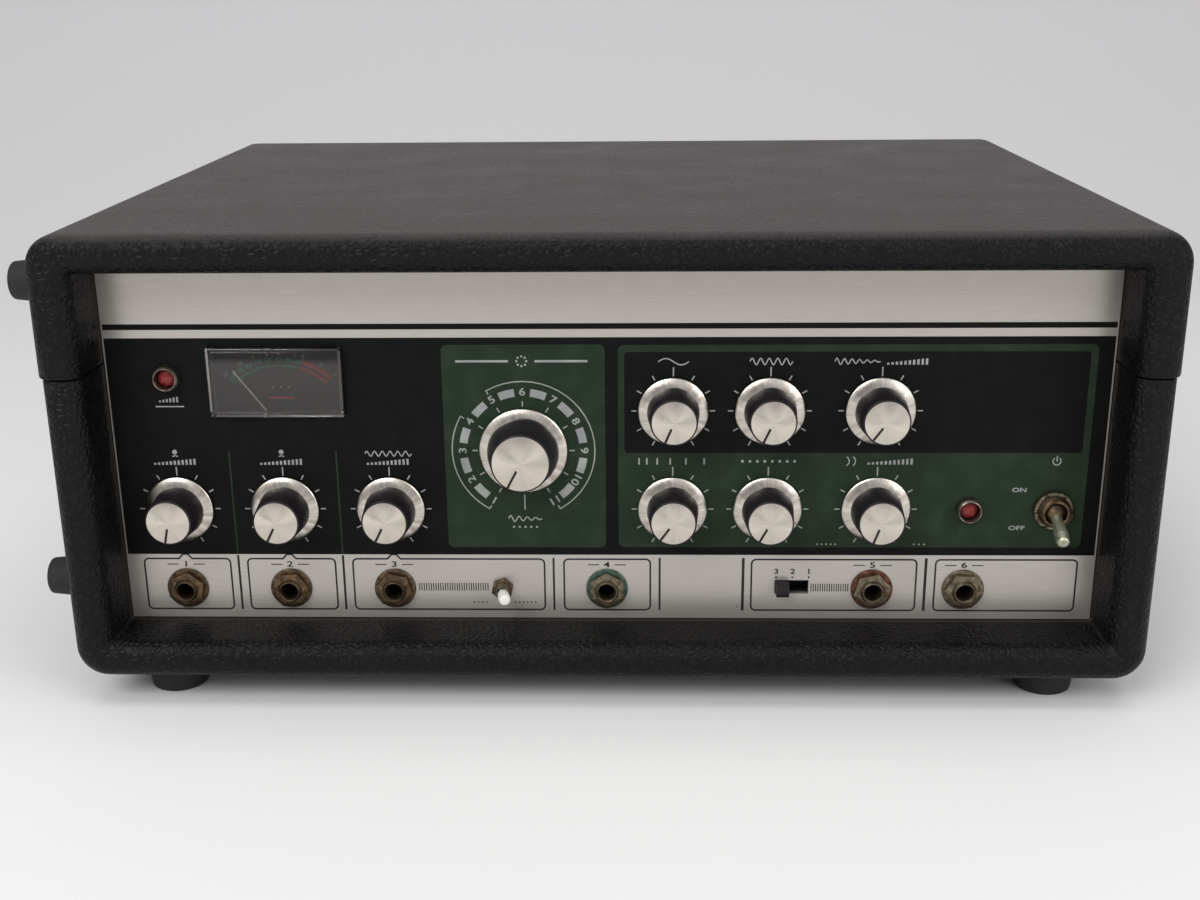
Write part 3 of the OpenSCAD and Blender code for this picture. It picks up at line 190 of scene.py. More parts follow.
def shape(name, parts, materials, smooth=35):
    """A piece from its parts, each of which is (vertices, faces, material number)."""
    vertices, faces, numbers = [], [], []
    for part_vertices, part_faces, number in parts:
        start = len(vertices)
        vertices += part_vertices
        faces += [[start + i for i in face] for face in part_faces]
        numbers += [number] * len(part_faces)
    mesh = bpy.data.meshes.new(name)
    mesh.from_pydata([tuple(v) for v in vertices], [], faces)
    for one in materials:
        mesh.materials.append(one)
    for polygon, number in zip(mesh.polygons, numbers):
        polygon.material_index = number
    work = bmesh.new()
    work.from_mesh(mesh)
    bmesh.ops.recalc_face_normals(work, faces=work.faces)
    work.to_mesh(mesh)
    work.free()
    made = bpy.data.objects.new(name, mesh)
    bpy.context.scene.collection.objects.link(made)
    return crisp(made, smooth)


def welded(mesh, distance, clean=False):
    """Joins vertices that lie closer than the distance, and may drop the faces that vanish."""
    work = bmesh.new()
    work.from_mesh(mesh)
    bmesh.ops.remove_doubles(work, verts=work.verts, dist=distance)
    if clean:
        bmesh.ops.dissolve_degenerate(work, edges=work.edges, dist=distance)
        bmesh.ops.recalc_face_normals(work, faces=work.faces)
    work.to_mesh(mesh)
    work.free()
    return mesh


def applied(made):
    """Applies an object's modifiers, so that its own mesh is the final one."""
    graph = bpy.context.evaluated_depsgraph_get()
    mesh = bpy.data.meshes.new_from_object(made.evaluated_get(graph))
    made.modifiers.clear()
    made.data = mesh
    return made


def bevelled(made, width, segments=2, angle=50, smooth=35):
    """Rounds every edge that is sharper than the angle."""
    edge = made.modifiers.new("edge", "BEVEL")
    edge.width = width
    edge.segments = segments
    edge.limit_method = "ANGLE"
    edge.angle_limit = math.radians(angle)
    return crisp(applied(made), smooth)


def riding(made, body, slot, *nodes):
    """Lets a piece ride a body, in place of these nodes of the model. The slot is not used."""
    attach(made, body)
    if nodes:
        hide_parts(*nodes)
    return made


def u_path(half, low, radius, top):
    """Front outline of a half case: down one side, round a corner, along the board and up."""
    side, turn, run = 3, 10, 8
    angles = [math.pi / 2 * i / turn for i in range(turn + 1)]
    corner = [(half - radius + radius * math.cos(a), low + radius - radius * math.sin(a)) for a in angles]
    right = [(half, top + (low + radius - top) * i / side) for i in range(side)] + corner
    reach = half - radius
    flat = [(-reach + 2 * reach * i / run, low) for i in range(1, run)]
    return [(-x, z) for x, z in right] + flat + right[::-1]


def blended(path_a, path_b, share):
    return [(a[0] + (b[0] - a[0]) * share, a[1] + (b[1] - a[1]) * share) for a, b in zip(path_a, path_b)]


def half_case(name, half, height, board, depth_end, upward, origin, window):
    """Covered half case. Heights run from the outer board at origin towards the seam."""
    outer = u_path(half, 0, CORNER_RADIUS, height)
    inner = u_path(mouth_half, board, MOUTH_FOLD, height)
    wall = half - mouth_half
    front = tub_low.y
    edge, steps = EDGE_RADIUS, 8
    quarter = [math.pi / 2 * i / steps for i in range(steps + 1)]
    columns = [(inner, rear_inner), (inner, panel_face + 4 * MM), (inner, panel_face - 2 * MM)]
    for a in quarter:
        offset = wall - edge + edge * math.cos(a)
        columns.append((blended(outer, inner, offset / wall), front + edge * (1 - math.sin(a))))
    for rim_y, outward, turns in ((front, 1, quarter[::-1]), (depth_end, -1, quarter)):
        for a in turns:
            rim = blended(outer, inner, edge * (1 - math.cos(a)) / wall)
            columns.append((rim, rim_y + outward * edge * (1 - math.sin(a))))
    ring = len(columns)
    if window:
        w, low, high = window
        opening = [(-w, high)] * 3 + [(-w, low)] * 11
        opening += [(-w + 2 * w * i / 8, low) for i in range(1, 8)] + [(w, low)] * 11 + [(w, high)] * 3
        columns += [(opening, depth_end), (opening, rear_inner)]
    count = len(outer)
    end = count - 1
    vertices = [Vector((x, y, origin + upward * z)) for path, y in columns for x, z in path]
    faces = []
    spans = list(zip(range(len(columns)), list(range(1, len(columns))) + [0]))
    for a, b in spans if window else spans[:-1]:
        faces += walls(a * count, b * count, count)[:-1]
    first = [c * count for c in range(ring)]
    faces.append(first + [f + end for f in first[::-1]])
    back = (ring - 1) * count
    if window:
        a, b = ring * count, (ring + 1) * count
        faces += [[back, a, a + end, back + end], [a, b, b + end, a + end], [0, b, b + end, end]]
    else:
        faces += [list(range(back, ring * count)), list(range(count))]
    made = shape(name, [(vertices, faces, 0)], [grained_vinyl, stained_plywood])
    welded(made.data, 1e-6, clean=True)
    for polygon in made.data.polygons:
        middle = polygon.center
        height = (middle.z - origin) * upward
        hidden = panel_face + MM < middle.y < rear_inner + MM and abs(middle.x) < mouth_half + MM
        side = height > board - MM and abs(polygon.normal.z) < 0.99
        if hidden and (side or abs(height - board) < MM):
            polygon.material_index = 1
    return bevelled(made, SEAM_FOLD)


# PVC leathercloth, embossed with a pebble grain: near black, with a broken satin shine where
# the pebbles catch the light, painted shade darkening the creases between the pebbles, paler warm
# and cool patches, and pale dust on the lid's up-facing top, which is also a painted sheen for
# the grazing reflection there.
grained_vinyl, shader, where = material("grained_vinyl", {"IOR": 1.5, "Specular IOR Level": 0.18})
drift = add(where, "TexNoise", {"Vector": where, "Scale": 1 / VINYL_PATCH, "Detail": 4})
wobble = add(where, "TexNoise", {"Vector": where, "Scale": 1 / (2 * VINYL_GRAIN), "Detail": 2})
wobble = wobble.outputs["Color"]
bend = add(where, "VectorMath", {0: wobble, "Scale": 0.9 * VINYL_GRAIN}, operation="SCALE")
bent = add(where, "VectorMath", (where, bend), operation="ADD")
pebbles = add(where, "TexVoronoi", {"Vector": bent, "Scale": 1 / VINYL_GRAIN}, feature="DISTANCE_TO_EDGE")
dome = add(where, "MapRange", (pebbles, 0, 0.32), interpolation_type="SMOOTHSTEP")
slanted = add(where, "Mapping", {"Vector": where, "Rotation": (0, 0, 0.7), "Scale": (1, 5, 1)})
crease = add(where, "TexNoise", {"Vector": slanted, "Scale": 0.25 / VINYL_WRINKLE, "Detail": 3})
pores = add(where, "TexNoise", {"Vector": where, "Scale": 1 / VINYL_PORES, "Detail": 3})
height = add(where, "Math", (pores, 0.18, dome), operation="MULTIPLY_ADD")
height = add(where, "Math", (crease, 0.8, height), operation="MULTIPLY_ADD")
relief = add(where, "Bump", {"Height": height, "Distance": 0.00035, "Strength": 0.8})
tone = add(where, "MapRange", (drift, 0.35, 0.65))
crest = add(where, "Mix", {0: tone, 6: "#0b0b0d", 7: "#131110"}, data_type="RGBA")
# Painted shade: the creases between the pebbles are coloured near black
creases_with_painted_shade = add(where, "Mix", {0: dome, 6: "#050506", 7: crest}, data_type="RGBA")
facing_up = add(where, "SeparateXYZ", {"Vector": add(where, "NewGeometry").outputs["Normal"]}).outputs[2]
facing_up = add(where, "MapRange", (facing_up, 0.6))
on_top = add(where, "SeparateXYZ", {"Vector": where}).outputs[2]
on_top = add(where, "MapRange", (on_top, SHEEN_DUST_FROM, SHEEN_DUST_FULL))
patchy = add(where, "MapRange", (tone, 0, 1, 0.4, 0.56))
# Dust on up-facing tops of the lid, which also stands in as a painted sheen of the grazing reflection
dust_and_sheen = add(where, "Math", (facing_up, on_top), operation="MULTIPLY")
dust_and_sheen = add(where, "Math", (dust_and_sheen, patchy), operation="MULTIPLY")
vinyl_with_dust_and_sheen = add(where, "Mix", {0: dust_and_sheen, 6: creases_with_painted_shade, 7: "#5c5654"}, data_type="RGBA")
skin(shader, vinyl_with_dust_and_sheen, add(where, "MapRange", (drift, 0.3, 0.7, 0.4, 0.54)), relief)

# Plywood stained black inside the case: dull, with the grain just showing.
stained_plywood = clouded(
    "stained_plywood", {"Roughness": 0.75}, (1 / PLY_GRAIN, 5), ("#171412", "#35291f"),
    relief=(0.0002, 0.4), stretch=(0.06, 1, 1),
)

lower_cabinet = half_case(
    "cabinet_covering", tub_high.x, tub_high.z - case_bottom, tub_floor, tub_high.y, 1, case_bottom,
    REAR_OPENING,
)
riding(lower_cabinet, "cabinet", "vinyl", "lower_cabinet")
lid_tall = lid_high.z - lid_low.z
lid = half_case("lid_covering", lid_high.x, lid_tall, lid_board, lid_high.y, -1, lid_high.z, None)
riding(lid, "lid", "vinyl", "lid_shell")

# ---- Feet ----
# Black rubber feet: four turned ones under the case, each held by a screw in its recess, and
# two short ones on the left side of each half, for standing the unit on its end.

FOOT_RADIUS, FOOT_TAPER, FOOT_ROUND = 12.5 * MM, 1.5 * MM, 1.2 * MM
FOOT_RECESS_RADIUS, FOOT_RECESS = 4.5 * MM, 5 * MM
SIDE_FOOT_RADIUS, SIDE_RECESS_RADIUS, SIDE_RECESS = 8 * MM, 2.6 * MM, 2.5 * MM
RUBBER_SPECKLE = 0.8 * MM
PLATING_CLOUD, PLATING_GRIT = 14 * MM, 0.35 * MM

# Moulded rubber: deep matt grey black with fine dust in its skin.
moulded_rubber = clouded(
    "moulded_rubber", {"Roughness": 0.72, "IOR": 1.5}, (1 / RUBBER_SPECKLE, 6), ("#121212", "#262524"),
    relief=(0.0001, 0.5), contrast=(0.4, 0.8),
)

# Zinc plated steel: grey with a faint yellow and blue cloud, and a dull sheen.
zinc_plate = clouded(
    "zinc_plate", {"Metallic": 1}, (1 / PLATING_CLOUD, 5), ("#a9abad", "#b8b29d"),
    dull=(0, 1, 0.28, 0.5), relief=(0.00005, 0.3, 1 / PLATING_GRIT, 2), contrast=(0.35, 0.65),
)


def softened(points, closed=True, steps=4):
    """Rounds the corners of an outline: each point is (x, y) or (x, y, radius)."""
    out = []
    for i, point in enumerate(points):
        here = Vector(point[:2])
        end = not closed and i in (0, len(points) - 1)
        if len(point) < 3 or end:
            out.append(tuple(here))
            continue
        a = Vector(points[i - 1][:2]) - here
        b = Vector(points[(i + 1) % len(points)][:2]) - here
        half = a.angle(b) / 2
        reach = min(point[2] / math.tan(half), 0.49 * a.length, 0.49 * b.length)
        centre = here + (a.normalized() + b.normalized()).normalized() * (reach / math.cos(half))
        start = here + a.normalized() * reach - centre
        sweep = start.angle_signed(here + b.normalized() * reach - centre)
        for k in range(steps + 1):
            turn = Matrix.Rotation(-sweep * k / steps, 2)
            out.append(tuple(centre + turn @ start))
    return out


def turned(profile, number=0, steps=64):
    """A part turned about z from (radius, height) points; it closes unless both ends are on the axis."""
    vertices, faces, rings = [], [], []
    for radius, height in profile:
        start = len(vertices)
        if radius < 1e-9:
            vertices.append((0, 0, height))
            rings.append([start] * steps)
            continue
        for i in range(steps):
            angle = 2 * math.pi * i / steps
            vertices.append((radius * math.cos(angle), radius * math.sin(angle), height))
        rings.append(list(range(start, start + steps)))
    open_ended = profile[0][0] < 1e-9 and profile[-1][0] < 1e-9
    for a, b in zip(rings, rings[1:] + ([] if open_ended else rings[:1])):
        for i in range(steps):
            j = (i + 1) % steps
            face = list(dict.fromkeys([a[i], a[j], b[j], b[i]]))
            if len(face) > 2:
                faces.append(face)
    return vertices, faces, number


def spun(points, number=0, steps=64, closed=False):
    """A turned part with softened corners."""
    return turned(softened(points, closed), number, steps)


def moved(part, matrix):
    """The same part under a transform."""
    vertices, faces, number = part
    return [matrix @ Vector(v) for v in vertices], faces, number


def placed(parts, matrix):
    return [moved(part, matrix) for part in parts]


def foot(radius, taper, seat, tread, hole, hole_edge, hole_floor):
    """A rubber foot from its seat to its tread, with a round hole in the tread."""
    face = [(radius - taper, tread, FOOT_ROUND), (hole, tread, hole_edge)]
    return spun([(0, seat), (radius, seat)] + face + [(hole, hole_floor), (0, hole_floor)], 0, 48)


foot_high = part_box("base_feet")[1]
base_foot = foot(FOOT_RADIUS, FOOT_TAPER, foot_high.z, 0, FOOT_RECESS_RADIUS, 0.5 * MM, FOOT_RECESS)
screw_head = [(0, 1.4 * MM), (1.8 * MM, 1.5 * MM), (3 * MM, 3 * MM)]
screw_head += [(3.2 * MM, FOOT_RECESS), (0, FOOT_RECESS)]
parts = []
for x in (FOOT_RADIUS - foot_high.x, foot_high.x - FOOT_RADIUS):
    for y in (FOOT_RADIUS - foot_high.y, foot_high.y - FOOT_RADIUS):
        parts += placed([base_foot, turned(screw_head, 1, 24)], Matrix.Translation((x, y, 0)))
riding(shape("rubber_base_feet", parts, [moulded_rubber, zinc_plate]), "cabinet", "foot_rubber", "base_feet")

for node, body in (("side_feet_lower", "cabinet"), ("side_feet_upper", "lid")):
    low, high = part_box(node)
    reach = high.x - low.x
    one = foot(SIDE_FOOT_RADIUS, MM, 0, reach, SIDE_RECESS_RADIUS, 0.4 * MM, reach - SIDE_RECESS)
    ends = low.y + SIDE_FOOT_RADIUS, high.y - SIDE_FOOT_RADIUS
    places = [(high.x, y, (low.z + high.z) / 2) for y in ends]
    parts = [moved(one, Matrix.Translation(place) @ rolled(-90, "Y")) for place in places]
    riding(shape("rubber_" + node, parts, [moulded_rubber]), body, "foot_rubber", node)

# ---- Carrying handle ----
# A moulded strap with a steel core, on the right side. Each end is trapped under a plated
# cap, which one oval head screw holds to the cabinet.

STRAP_THICK, STRAP_EDGE, STRAP_RIB = 3 * MM, 1.1 * MM, 0.5 * MM
STRAP_GROOVE = ((0.72, 0), (0.66, STRAP_RIB), (0.58, STRAP_RIB), (0.52, 0))
RAMP_START, RAMP_END = 66 * MM, 46 * MM
STRAP_STATIONS = 72
CAP_ROUND, CAP_EDGE, CAP_START = 3 * MM, 1.6 * MM, 64 * MM
OVAL_HEAD = 0.95 * MM
WEAR_MARK = 3 * MM
SIDEWAYS = Matrix(((0, 0, 1, 0), (1, 0, 0, 0), (0, 1, 0, 0), (0, 0, 0, 1)))


def bar(x0, z0, x1, z1):
    """Outline of a plain bar."""
    return [(x0, z0), (x1, z0), (x1, z1), (x0, z1)]


def rounded(x0, z0, x1, z1, radius):
    """Outline of a rounded rectangle."""
    return softened([(*corner, radius) for corner in bar(x0, z0, x1, z1)])


def prism(outline, low, high, number=0):
    """A plate with this outline, from height low to high."""
    n = len(outline)
    vertices = [(x, y, z) for z in (low, high) for x, y in outline]
    return vertices, [list(range(n))[::-1], list(range(n, 2 * n))] + walls(0, n, n), number


strap_low, strap_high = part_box("handle_strap")
caps_low, caps_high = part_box("handle_caps")
strap_half = (strap_high.z - strap_low.z) / 2
strap_middle = (strap_high.z + strap_low.z) / 2
upper = [(strap_half, STRAP_THICK, STRAP_EDGE)]
upper += [(share * strap_half, STRAP_THICK - deep) for share, deep in STRAP_GROOVE]
lower = [(-strap_half, 0, STRAP_EDGE), (strap_half, 0, STRAP_EDGE)]
section = softened(lower + upper + [(-point[0], *point[1:]) for point in upper[::-1]])
vertices = []
for i in range(STRAP_STATIONS + 1):
    y = strap_low.y + (strap_high.y - strap_low.y) * i / STRAP_STATIONS
    t = min(1, max(0, (RAMP_START - abs(y)) / (RAMP_START - RAMP_END)))
    lift = t * t * (3 - 2 * t) * (strap_high.x - STRAP_THICK - tub_high.x)
    vertices += [(tub_high.x + lift + v, y, strap_middle + u) for u, v in section]
n = len(section)
faces = [list(range(n)), list(range(STRAP_STATIONS * n, (STRAP_STATIONS + 1) * n))[::-1]]
for i in range(STRAP_STATIONS):
    faces += walls(i * n, (i + 1) * n, n)
strap = shape("handle_grip", [(vertices, faces, 0)], [moulded_rubber])
riding(strap, "cabinet", "strap", "handle_strap")

# Dull chrome plate on pressed steel: a soft mirror with fine wear marks.
dull_chrome = clouded(
    "dull_chrome", {"Metallic": 1}, (1 / WEAR_MARK, 8), ("#c2c2bf", "#9c9a95"),
    dull=(0.3, 1, 0.14, 0.42), relief=(0.00004, 0.3),
)

cap_half = (caps_high.y - caps_low.y - 2 * CAP_START) / 4
outline = rounded(-cap_half, caps_low.z - strap_middle, cap_half, caps_high.z - strap_middle, CAP_ROUND)
cap = prism(outline, 0, caps_high.x - caps_low.x - 0.9 * MM)
head = spun([(0, 0), (3.4 * MM, 0), (3.2 * MM, 0.5 * MM, 0.3 * MM), (0, OVAL_HEAD)], 0, 32)
caps, screws = [], []
for centre in (cap_half - caps_high.y, caps_high.y - cap_half):
    caps.append(moved(cap, Matrix.Translation((caps_low.x, centre, strap_middle)) @ SIDEWAYS))
    at = Matrix.Translation((caps_high.x - OVAL_HEAD, centre, strap_middle))
    screws.append(moved(head, at @ rolled(90, "Y")))
caps = bevelled(shape("handle_end_caps", caps, [dull_chrome]), CAP_EDGE, 4)
riding(caps, "cabinet", "end_caps", "handle_caps")
riding(shape("handle_cap_screws", screws, [zinc_plate]), "cabinet", "end_caps")

# ---- Front panel ----
# One aluminium sheet, brushed along its length, with a black field, green areas and grey
# marks screen printed on it. The inks are thin films that lie on the metal. Places on the
# print are millimetres from the panel's middle and the case's bottom.

BRUSH_LINE, SCUFF, INK_GRAIN = 0.25 * MM, 9 * MM, 0.3 * MM
FILM = 0.02
IN_MM = Matrix.Scale(MM, 4)
HAIRLINE, FINE_LINE, BOX_LINE, TITLE_LINE = 0.5, 0.45, 0.7, 0.9
PRINT_MARGIN = 0.6
FIELD_LOW, FIELD_HIGH = 42.3, 130.0
BLACK_LINE = (133.2, 135.4)
GREEN_LEFT, GREEN_LEFT_ROUND = (-62.1, 45.4, -0.2, 127.2), 2.2
GREEN_RIGHT, GREEN_RIGHT_ROUND = (4.7, 45.6, 184.1, 127.0), 2.4
BLACK_RIGHT, BLACK_RIGHT_ROUND = (7.1, 84.4, 181.4, 124.3), 1.6
HOLE, TOGGLE_HOLE = 3.9, 6
LAMP_LENS = 3.5
SMALL_KNOBS = ["mic_one", "mic_two", "instrument", "bass", "treble", "reverb", "rate", "intensity", "echo"]
SMALL_RAY, SMALL_TOP_RAY = (13.9, 15.9), (13.6, 17.2)
MODE_RAY, MODE_FOOT_RAY = (17.6, 19.7), (18, 24.2)
MODE_DASHES, MODE_DASH_WIDE, MODE_NUMBERS = 23.2, 3.1, 23.3
MODE_BRACKET, MODE_BRACKET_FOOT = 27.5, 25.9
FACE_FIGURE_SHARE = 0.73


def dress(finish, *nodes):
    """Gives kept nodes of the model their finish."""
    for node in nodes:
        slots = frame["nodes"][node].data.materials
        slots.clear()
        slots.append(finish)


def arc(radius, start, end, x=0.0, z=0.0, steps=24):
    """Points on an arc; angles are in degrees, clockwise from the top."""
    turns = [math.radians(start + (end - start) * i / steps) for i in range(steps + 1)]
    return [(x + radius * math.sin(a), z + radius * math.cos(a)) for a in turns]


def brushed(name, metallic, run, line, scuffs, colours, dull, strength):
    """Sheet metal brushed along x: fine streaks, and a shine that varies in wide clouds."""
    made, shader, where = material(name, {"Metallic": metallic})
    along = add(where, "Mapping", {"Vector": where, "Scale": (run, 1, 1)})
    streak = add(where, "TexNoise", {"Vector": along, "Scale": 1 / line, "Detail": 3})
    cloud = add(where, "TexNoise", {"Vector": where, "Scale": scuffs[0], "Detail": scuffs[1]})
    tint = add(where, "Mix", {0: streak, 6: colours[0], 7: colours[1]}, data_type="RGBA")
    relief = add(where, "Bump", {"Height": streak, "Distance": 0.00004, "Strength": strength})
    skin(shader, tint, add(where, "MapRange", (cloud, 0, 1, *dull)), relief)
    return made


def ink(name, base, rubbed, roughness):
    """Screen printing ink: a matt film with fine pinholes, a little rubbed where hands pass."""
    surface = {"Roughness": roughness, "IOR": 1.48, "Specular IOR Level": 0.15}
    pinholes = (0.00003, 0.4, 1 / INK_GRAIN, 4)
    return clouded(name, surface, (1 / SCUFF, 7), (base, rubbed), relief=pinholes, contrast=(0.45, 0.75))


# Aluminium sheet, brushed lengthwise and clear anodised: warm silver, with a wide soft reflection.
brushed_aluminium = brushed(
    "brushed_aluminium", 0.6, 0.02, BRUSH_LINE, (1 / SCUFF, 6), ("#aaa49e", "#c6c1ba"), (0.24, 0.36), 0.35
)
black_ink = ink("black_screen_ink", "#060706", "#0d0e0d", 0.6)
green_ink = ink("green_screen_ink", "#202e20", "#2a3829", 0.55)
grey_ink = ink("grey_screen_ink", "#8f9290", "#a7a9a6", 0.6)
dark_ink = ink("dark_line_ink", "#262627", "#383736", 0.55)
dress(brushed_aluminium, "front_panel")


def on_panel(x, z, turn=0.0):
    """Frame of a control at a place on the panel's face: x across, y up and z out of it."""
    return Matrix.Translation((x, panel_face, z)) @ rolled(90, "X") @ Matrix.Rotation(-turn, 4, "Z")


def print_at(x=0.0, z=0.0, turn=0.0):
    """Frame of the printing, in millimetres; the turn is in degrees."""
    return on_panel(x * MM, case_bottom + z * MM, math.radians(turn)) @ IN_MM


def film_of(curve, wide=1.0):
    """Turns a flat curve into a mesh that stands on z = 0, and removes the curve."""
    curve.extrude = FILM / 2
    holder = bpy.data.objects.new("holder", curve)
    mesh = bpy.data.meshes.new_from_object(holder)
    mesh.transform(Matrix.Diagonal((wide, 1, 1, 1)) @ Matrix.Translation((0, 0, FILM / 2)))
    bpy.data.objects.remove(holder)
    bpy.data.curves.remove(curve)
    return welded(mesh, 0.05 * FILM)


def filled(loops):
    """A flat film inside closed outlines; an outline within another one is a hole."""
    curve = bpy.data.curves.new("outline", "CURVE")
    curve.dimensions = "2D"
    curve.fill_mode = "BOTH"
    for loop in loops:
        spline = curve.splines.new("POLY")
        spline.points.add(len(loop) - 1)
        for point, (x, y) in zip(spline.points, loop):
            point.co = (x, y, 0, 1)
        spline.use_cyclic_u = True
    return film_of(curve)


def lettered(text, tall, wide=1.25):
    """A film of figures in Blender's own font, centred, and drawn wide."""
    curve = bpy.data.curves.new("figures", "FONT")
    curve.body = text
    curve.size = tall / FACE_FIGURE_SHARE
    curve.align_x = curve.align_y = "CENTER"
    curve.resolution_u = 4
    curve.offset = 0.02 * curve.size
    return film_of(curve, wide)


def printed(name, films, finish, layer=0, slot="panel_aluminium"):
    """One colour of a print: its films with their places, joined into one piece."""
    work = bmesh.new()
    for mesh, place in films:
        mesh.transform(place @ Matrix.Translation((0, 0, layer * FILM)))
        work.from_mesh(mesh)
        bpy.data.meshes.remove(mesh)
    joined = bpy.data.meshes.new(name)
    work.to_mesh(joined)
    work.free()
    joined.materials.clear()
    joined.materials.append(finish)
    made = bpy.data.objects.new(name, joined)
    bpy.context.scene.collection.objects.link(made)
    riding(made, "cabinet", slot)


def disc(x, z, radius, steps=40):
    """Outline of a round spot."""
    turns = [2 * math.pi * i / steps for i in range(steps)]
    return [(x + radius * math.cos(a), z + radius * math.sin(a)) for a in turns]


def stroke(points, width, closed=False):
    """Outlines of a line of this width drawn through the points, with mitred corners."""
    sides = ([], [])
    for i, point in enumerate(points):
        here = Vector(point)
        back = here - Vector(points[i - 1]) if closed or i else None
        ahead = Vector(points[(i + 1) % len(points)]) - here if closed or i + 1 < len(points) else None
        a, b = (v.normalized() for v in (back or ahead, ahead or back))
        normal = Vector((-a.y - b.y, a.x + b.x)) / (1 + a.dot(b))
        for side, sign in zip(sides, (1, -1)):
            side.append(tuple(here + normal * sign * width / 2))
    return list(sides) if closed else [sides[0] + sides[1][::-1]]


def on_arc(radius, angle, x=0.0, z=0.0):
    return arc(radius, angle, angle, x, z, 1)[0]


def ray(angle, reach, width=HAIRLINE):
    """Outline of a radial stroke, at an angle clockwise from the top."""
    return stroke([on_arc(radius, angle) for radius in reach], width)[0]


def steps_mark(x, z, wide, tall, count):
    """A row of upright bars that grow from left to right: the sign for a level."""
    pitch = wide / count
    low = z - tall / 2
    bars = []
    for i in range(count):
        x0 = x - wide / 2 + pitch * i
        bars.append(bar(x0, low, x0 + pitch * 0.55, low + tall * (0.3 + 0.7 * i / count)))
    return bars


def wave_mark(x, z, wide, tall, turns, fade=0.0):
    """A wavy line, which may die away to the right."""
    points = []
    for i in range(12 * turns + 1):
        s = i / (12 * turns)
        rise = tall / 2 * (1 - fade * s) * math.sin(2 * math.pi * turns * s)
        points.append((x - wide / 2 + wide * s, z + rise))
    return stroke(points, FINE_LINE)


def dots_mark(x, z, wide, radius, count):
    """A row of dots."""
    return [disc(x + wide * (i / (count - 1) - 0.5), z, radius, 16) for i in range(count)]


def on_print(point):
    """A place on the panel in the printing's millimetres."""
    return point.x / MM, (point.z - case_bottom) / MM


def inside(point, area):
    return area[0] < point[0] < area[2] and area[1] < point[1] < area[3]


joints = {joint["name"]: joint for joint in frame["joints"]}
knob_at = {name: Vector(joints["turn_" + name]["pos_m"]) for name in SMALL_KNOBS + ["mode"]}
toggle_at = Vector(joints["flip_power"]["pos_m"])
mini_at = Vector(joints["flip_mini"]["pos_m"])
lens_low, lens_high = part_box("lamp_lenses")
reach = LAMP_LENS * MM
lamp_at = [
    Vector((lens_low.x + reach, panel_face, lens_high.z - reach)),
    Vector((lens_high.x - reach, panel_face, lens_low.z + reach)),
]
window_low, window_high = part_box("meter_lens")
window = (*on_print(window_low), *on_print(window_high))

spots = {name: on_print(point) for name, point in knob_at.items()}
column = {name: x for name, (x, z) in spots.items()}
lamp_spots = [on_print(point) for point in lamp_at]
toggle_spot, mini_spot = on_print(toggle_at), on_print(mini_at)
jack_spots = [on_print(Vector(m["pos_m"])) for m in frame["record"]["mounts"] if "jack" in m["name"]]
half = panel_high.x / MM - PRINT_MARGIN
toggle_hole = disc(*toggle_spot, TOGGLE_HOLE)
black = [bar(-half, FIELD_LOW, half, FIELD_HIGH), bar(*window)]
black += [disc(*spot, HOLE) for spot in list(spots.values()) + lamp_spots] + [toggle_hole]
black.append(bar(-half, BLACK_LINE[0], half, BLACK_LINE[1]))
printed("panel_black_field", [(filled(black), print_at())], black_ink)
green = [rounded(*GREEN_LEFT, GREEN_LEFT_ROUND), disc(*spots["mode"], HOLE)]
green += [rounded(*GREEN_RIGHT, GREEN_RIGHT_ROUND), rounded(*BLACK_RIGHT, BLACK_RIGHT_ROUND)]
low_spots = [spots[name] for name in SMALL_KNOBS] + lamp_spots
green += [disc(*s, HOLE) for s in low_spots if inside(s, GREEN_RIGHT) and not inside(s, BLACK_RIGHT)]
printed("panel_green_areas", [(filled(green + [toggle_hole]), print_at())], green_ink, 1)

# Grey marks: dial strokes and numbers, and a plain sign where each control's use is shown
marks = []
for name in SMALL_KNOBS:
    rays = [ray(a, SMALL_RAY) for a in range(-150, 151, 30) if a]
    marks.append((filled(rays + [ray(0, SMALL_TOP_RAY)]), print_at(*spots[name])))
rays = [ray(a, MODE_RAY) for a in range(-150, 151, 30)] + [ray(180, MODE_FOOT_RAY)]
for a in range(-150, 150, 30):
    rays += stroke(arc(MODE_DASHES, a + 7.5, a + 22.5, steps=6), MODE_DASH_WIDE)
for start, end in ((-150, -60), (-30, 150)):
    feet = [on_arc(MODE_BRACKET_FOOT, a) for a in (start, end)]
    rays += stroke([feet[0]] + arc(MODE_BRACKET, start, end) + [feet[1]], FINE_LINE)
marks.append((filled(rays), print_at(*spots["mode"])))
for i in range(11):
    angle = -150 + 30 * i
    place = print_at(*on_arc(MODE_NUMBERS, angle, *spots["mode"]), angle)
    marks.append((lettered(str(i + 1), 3.0), place))

x, z = column["mode"], 120.8
signs = stroke([(x - 25, z), (x - 5, z)], TITLE_LINE) + stroke([(x + 5, z), (x + 25, z)], TITLE_LINE)
signs += [disc(*on_arc(1.9, a, x, z), 0.42, 12) for a in range(0, 360, 45)]
signs += wave_mark(x, 57.4, 13, 2.6, 4, 0.75) + dots_mark(x, 54.0, 9, 0.45, 5)
for name in ("mic_one", "mic_two", "instrument"):
    signs += steps_mark(column[name], 80.9, 17, 2.6, 11)
for x in (column["mic_one"], column["mic_two"]):
    signs += [disc(x, 84.8, 0.95, 20), bar(x - 0.25, 82.9, x + 0.25, 84.2), bar(x - 1.1, 82.9, x + 1.1, 83.3)]
signs += wave_mark(column["instrument"], 84.1, 18, 2.0, 6)
signs += wave_mark(column["bass"], 120.5, 11.6, 2.5, 1) + wave_mark(column["treble"], 120.5, 16, 2.5, 5)
signs += wave_mark(column["reverb"] - 9.5, 120.5, 17, 2.6, 6, 0.8)
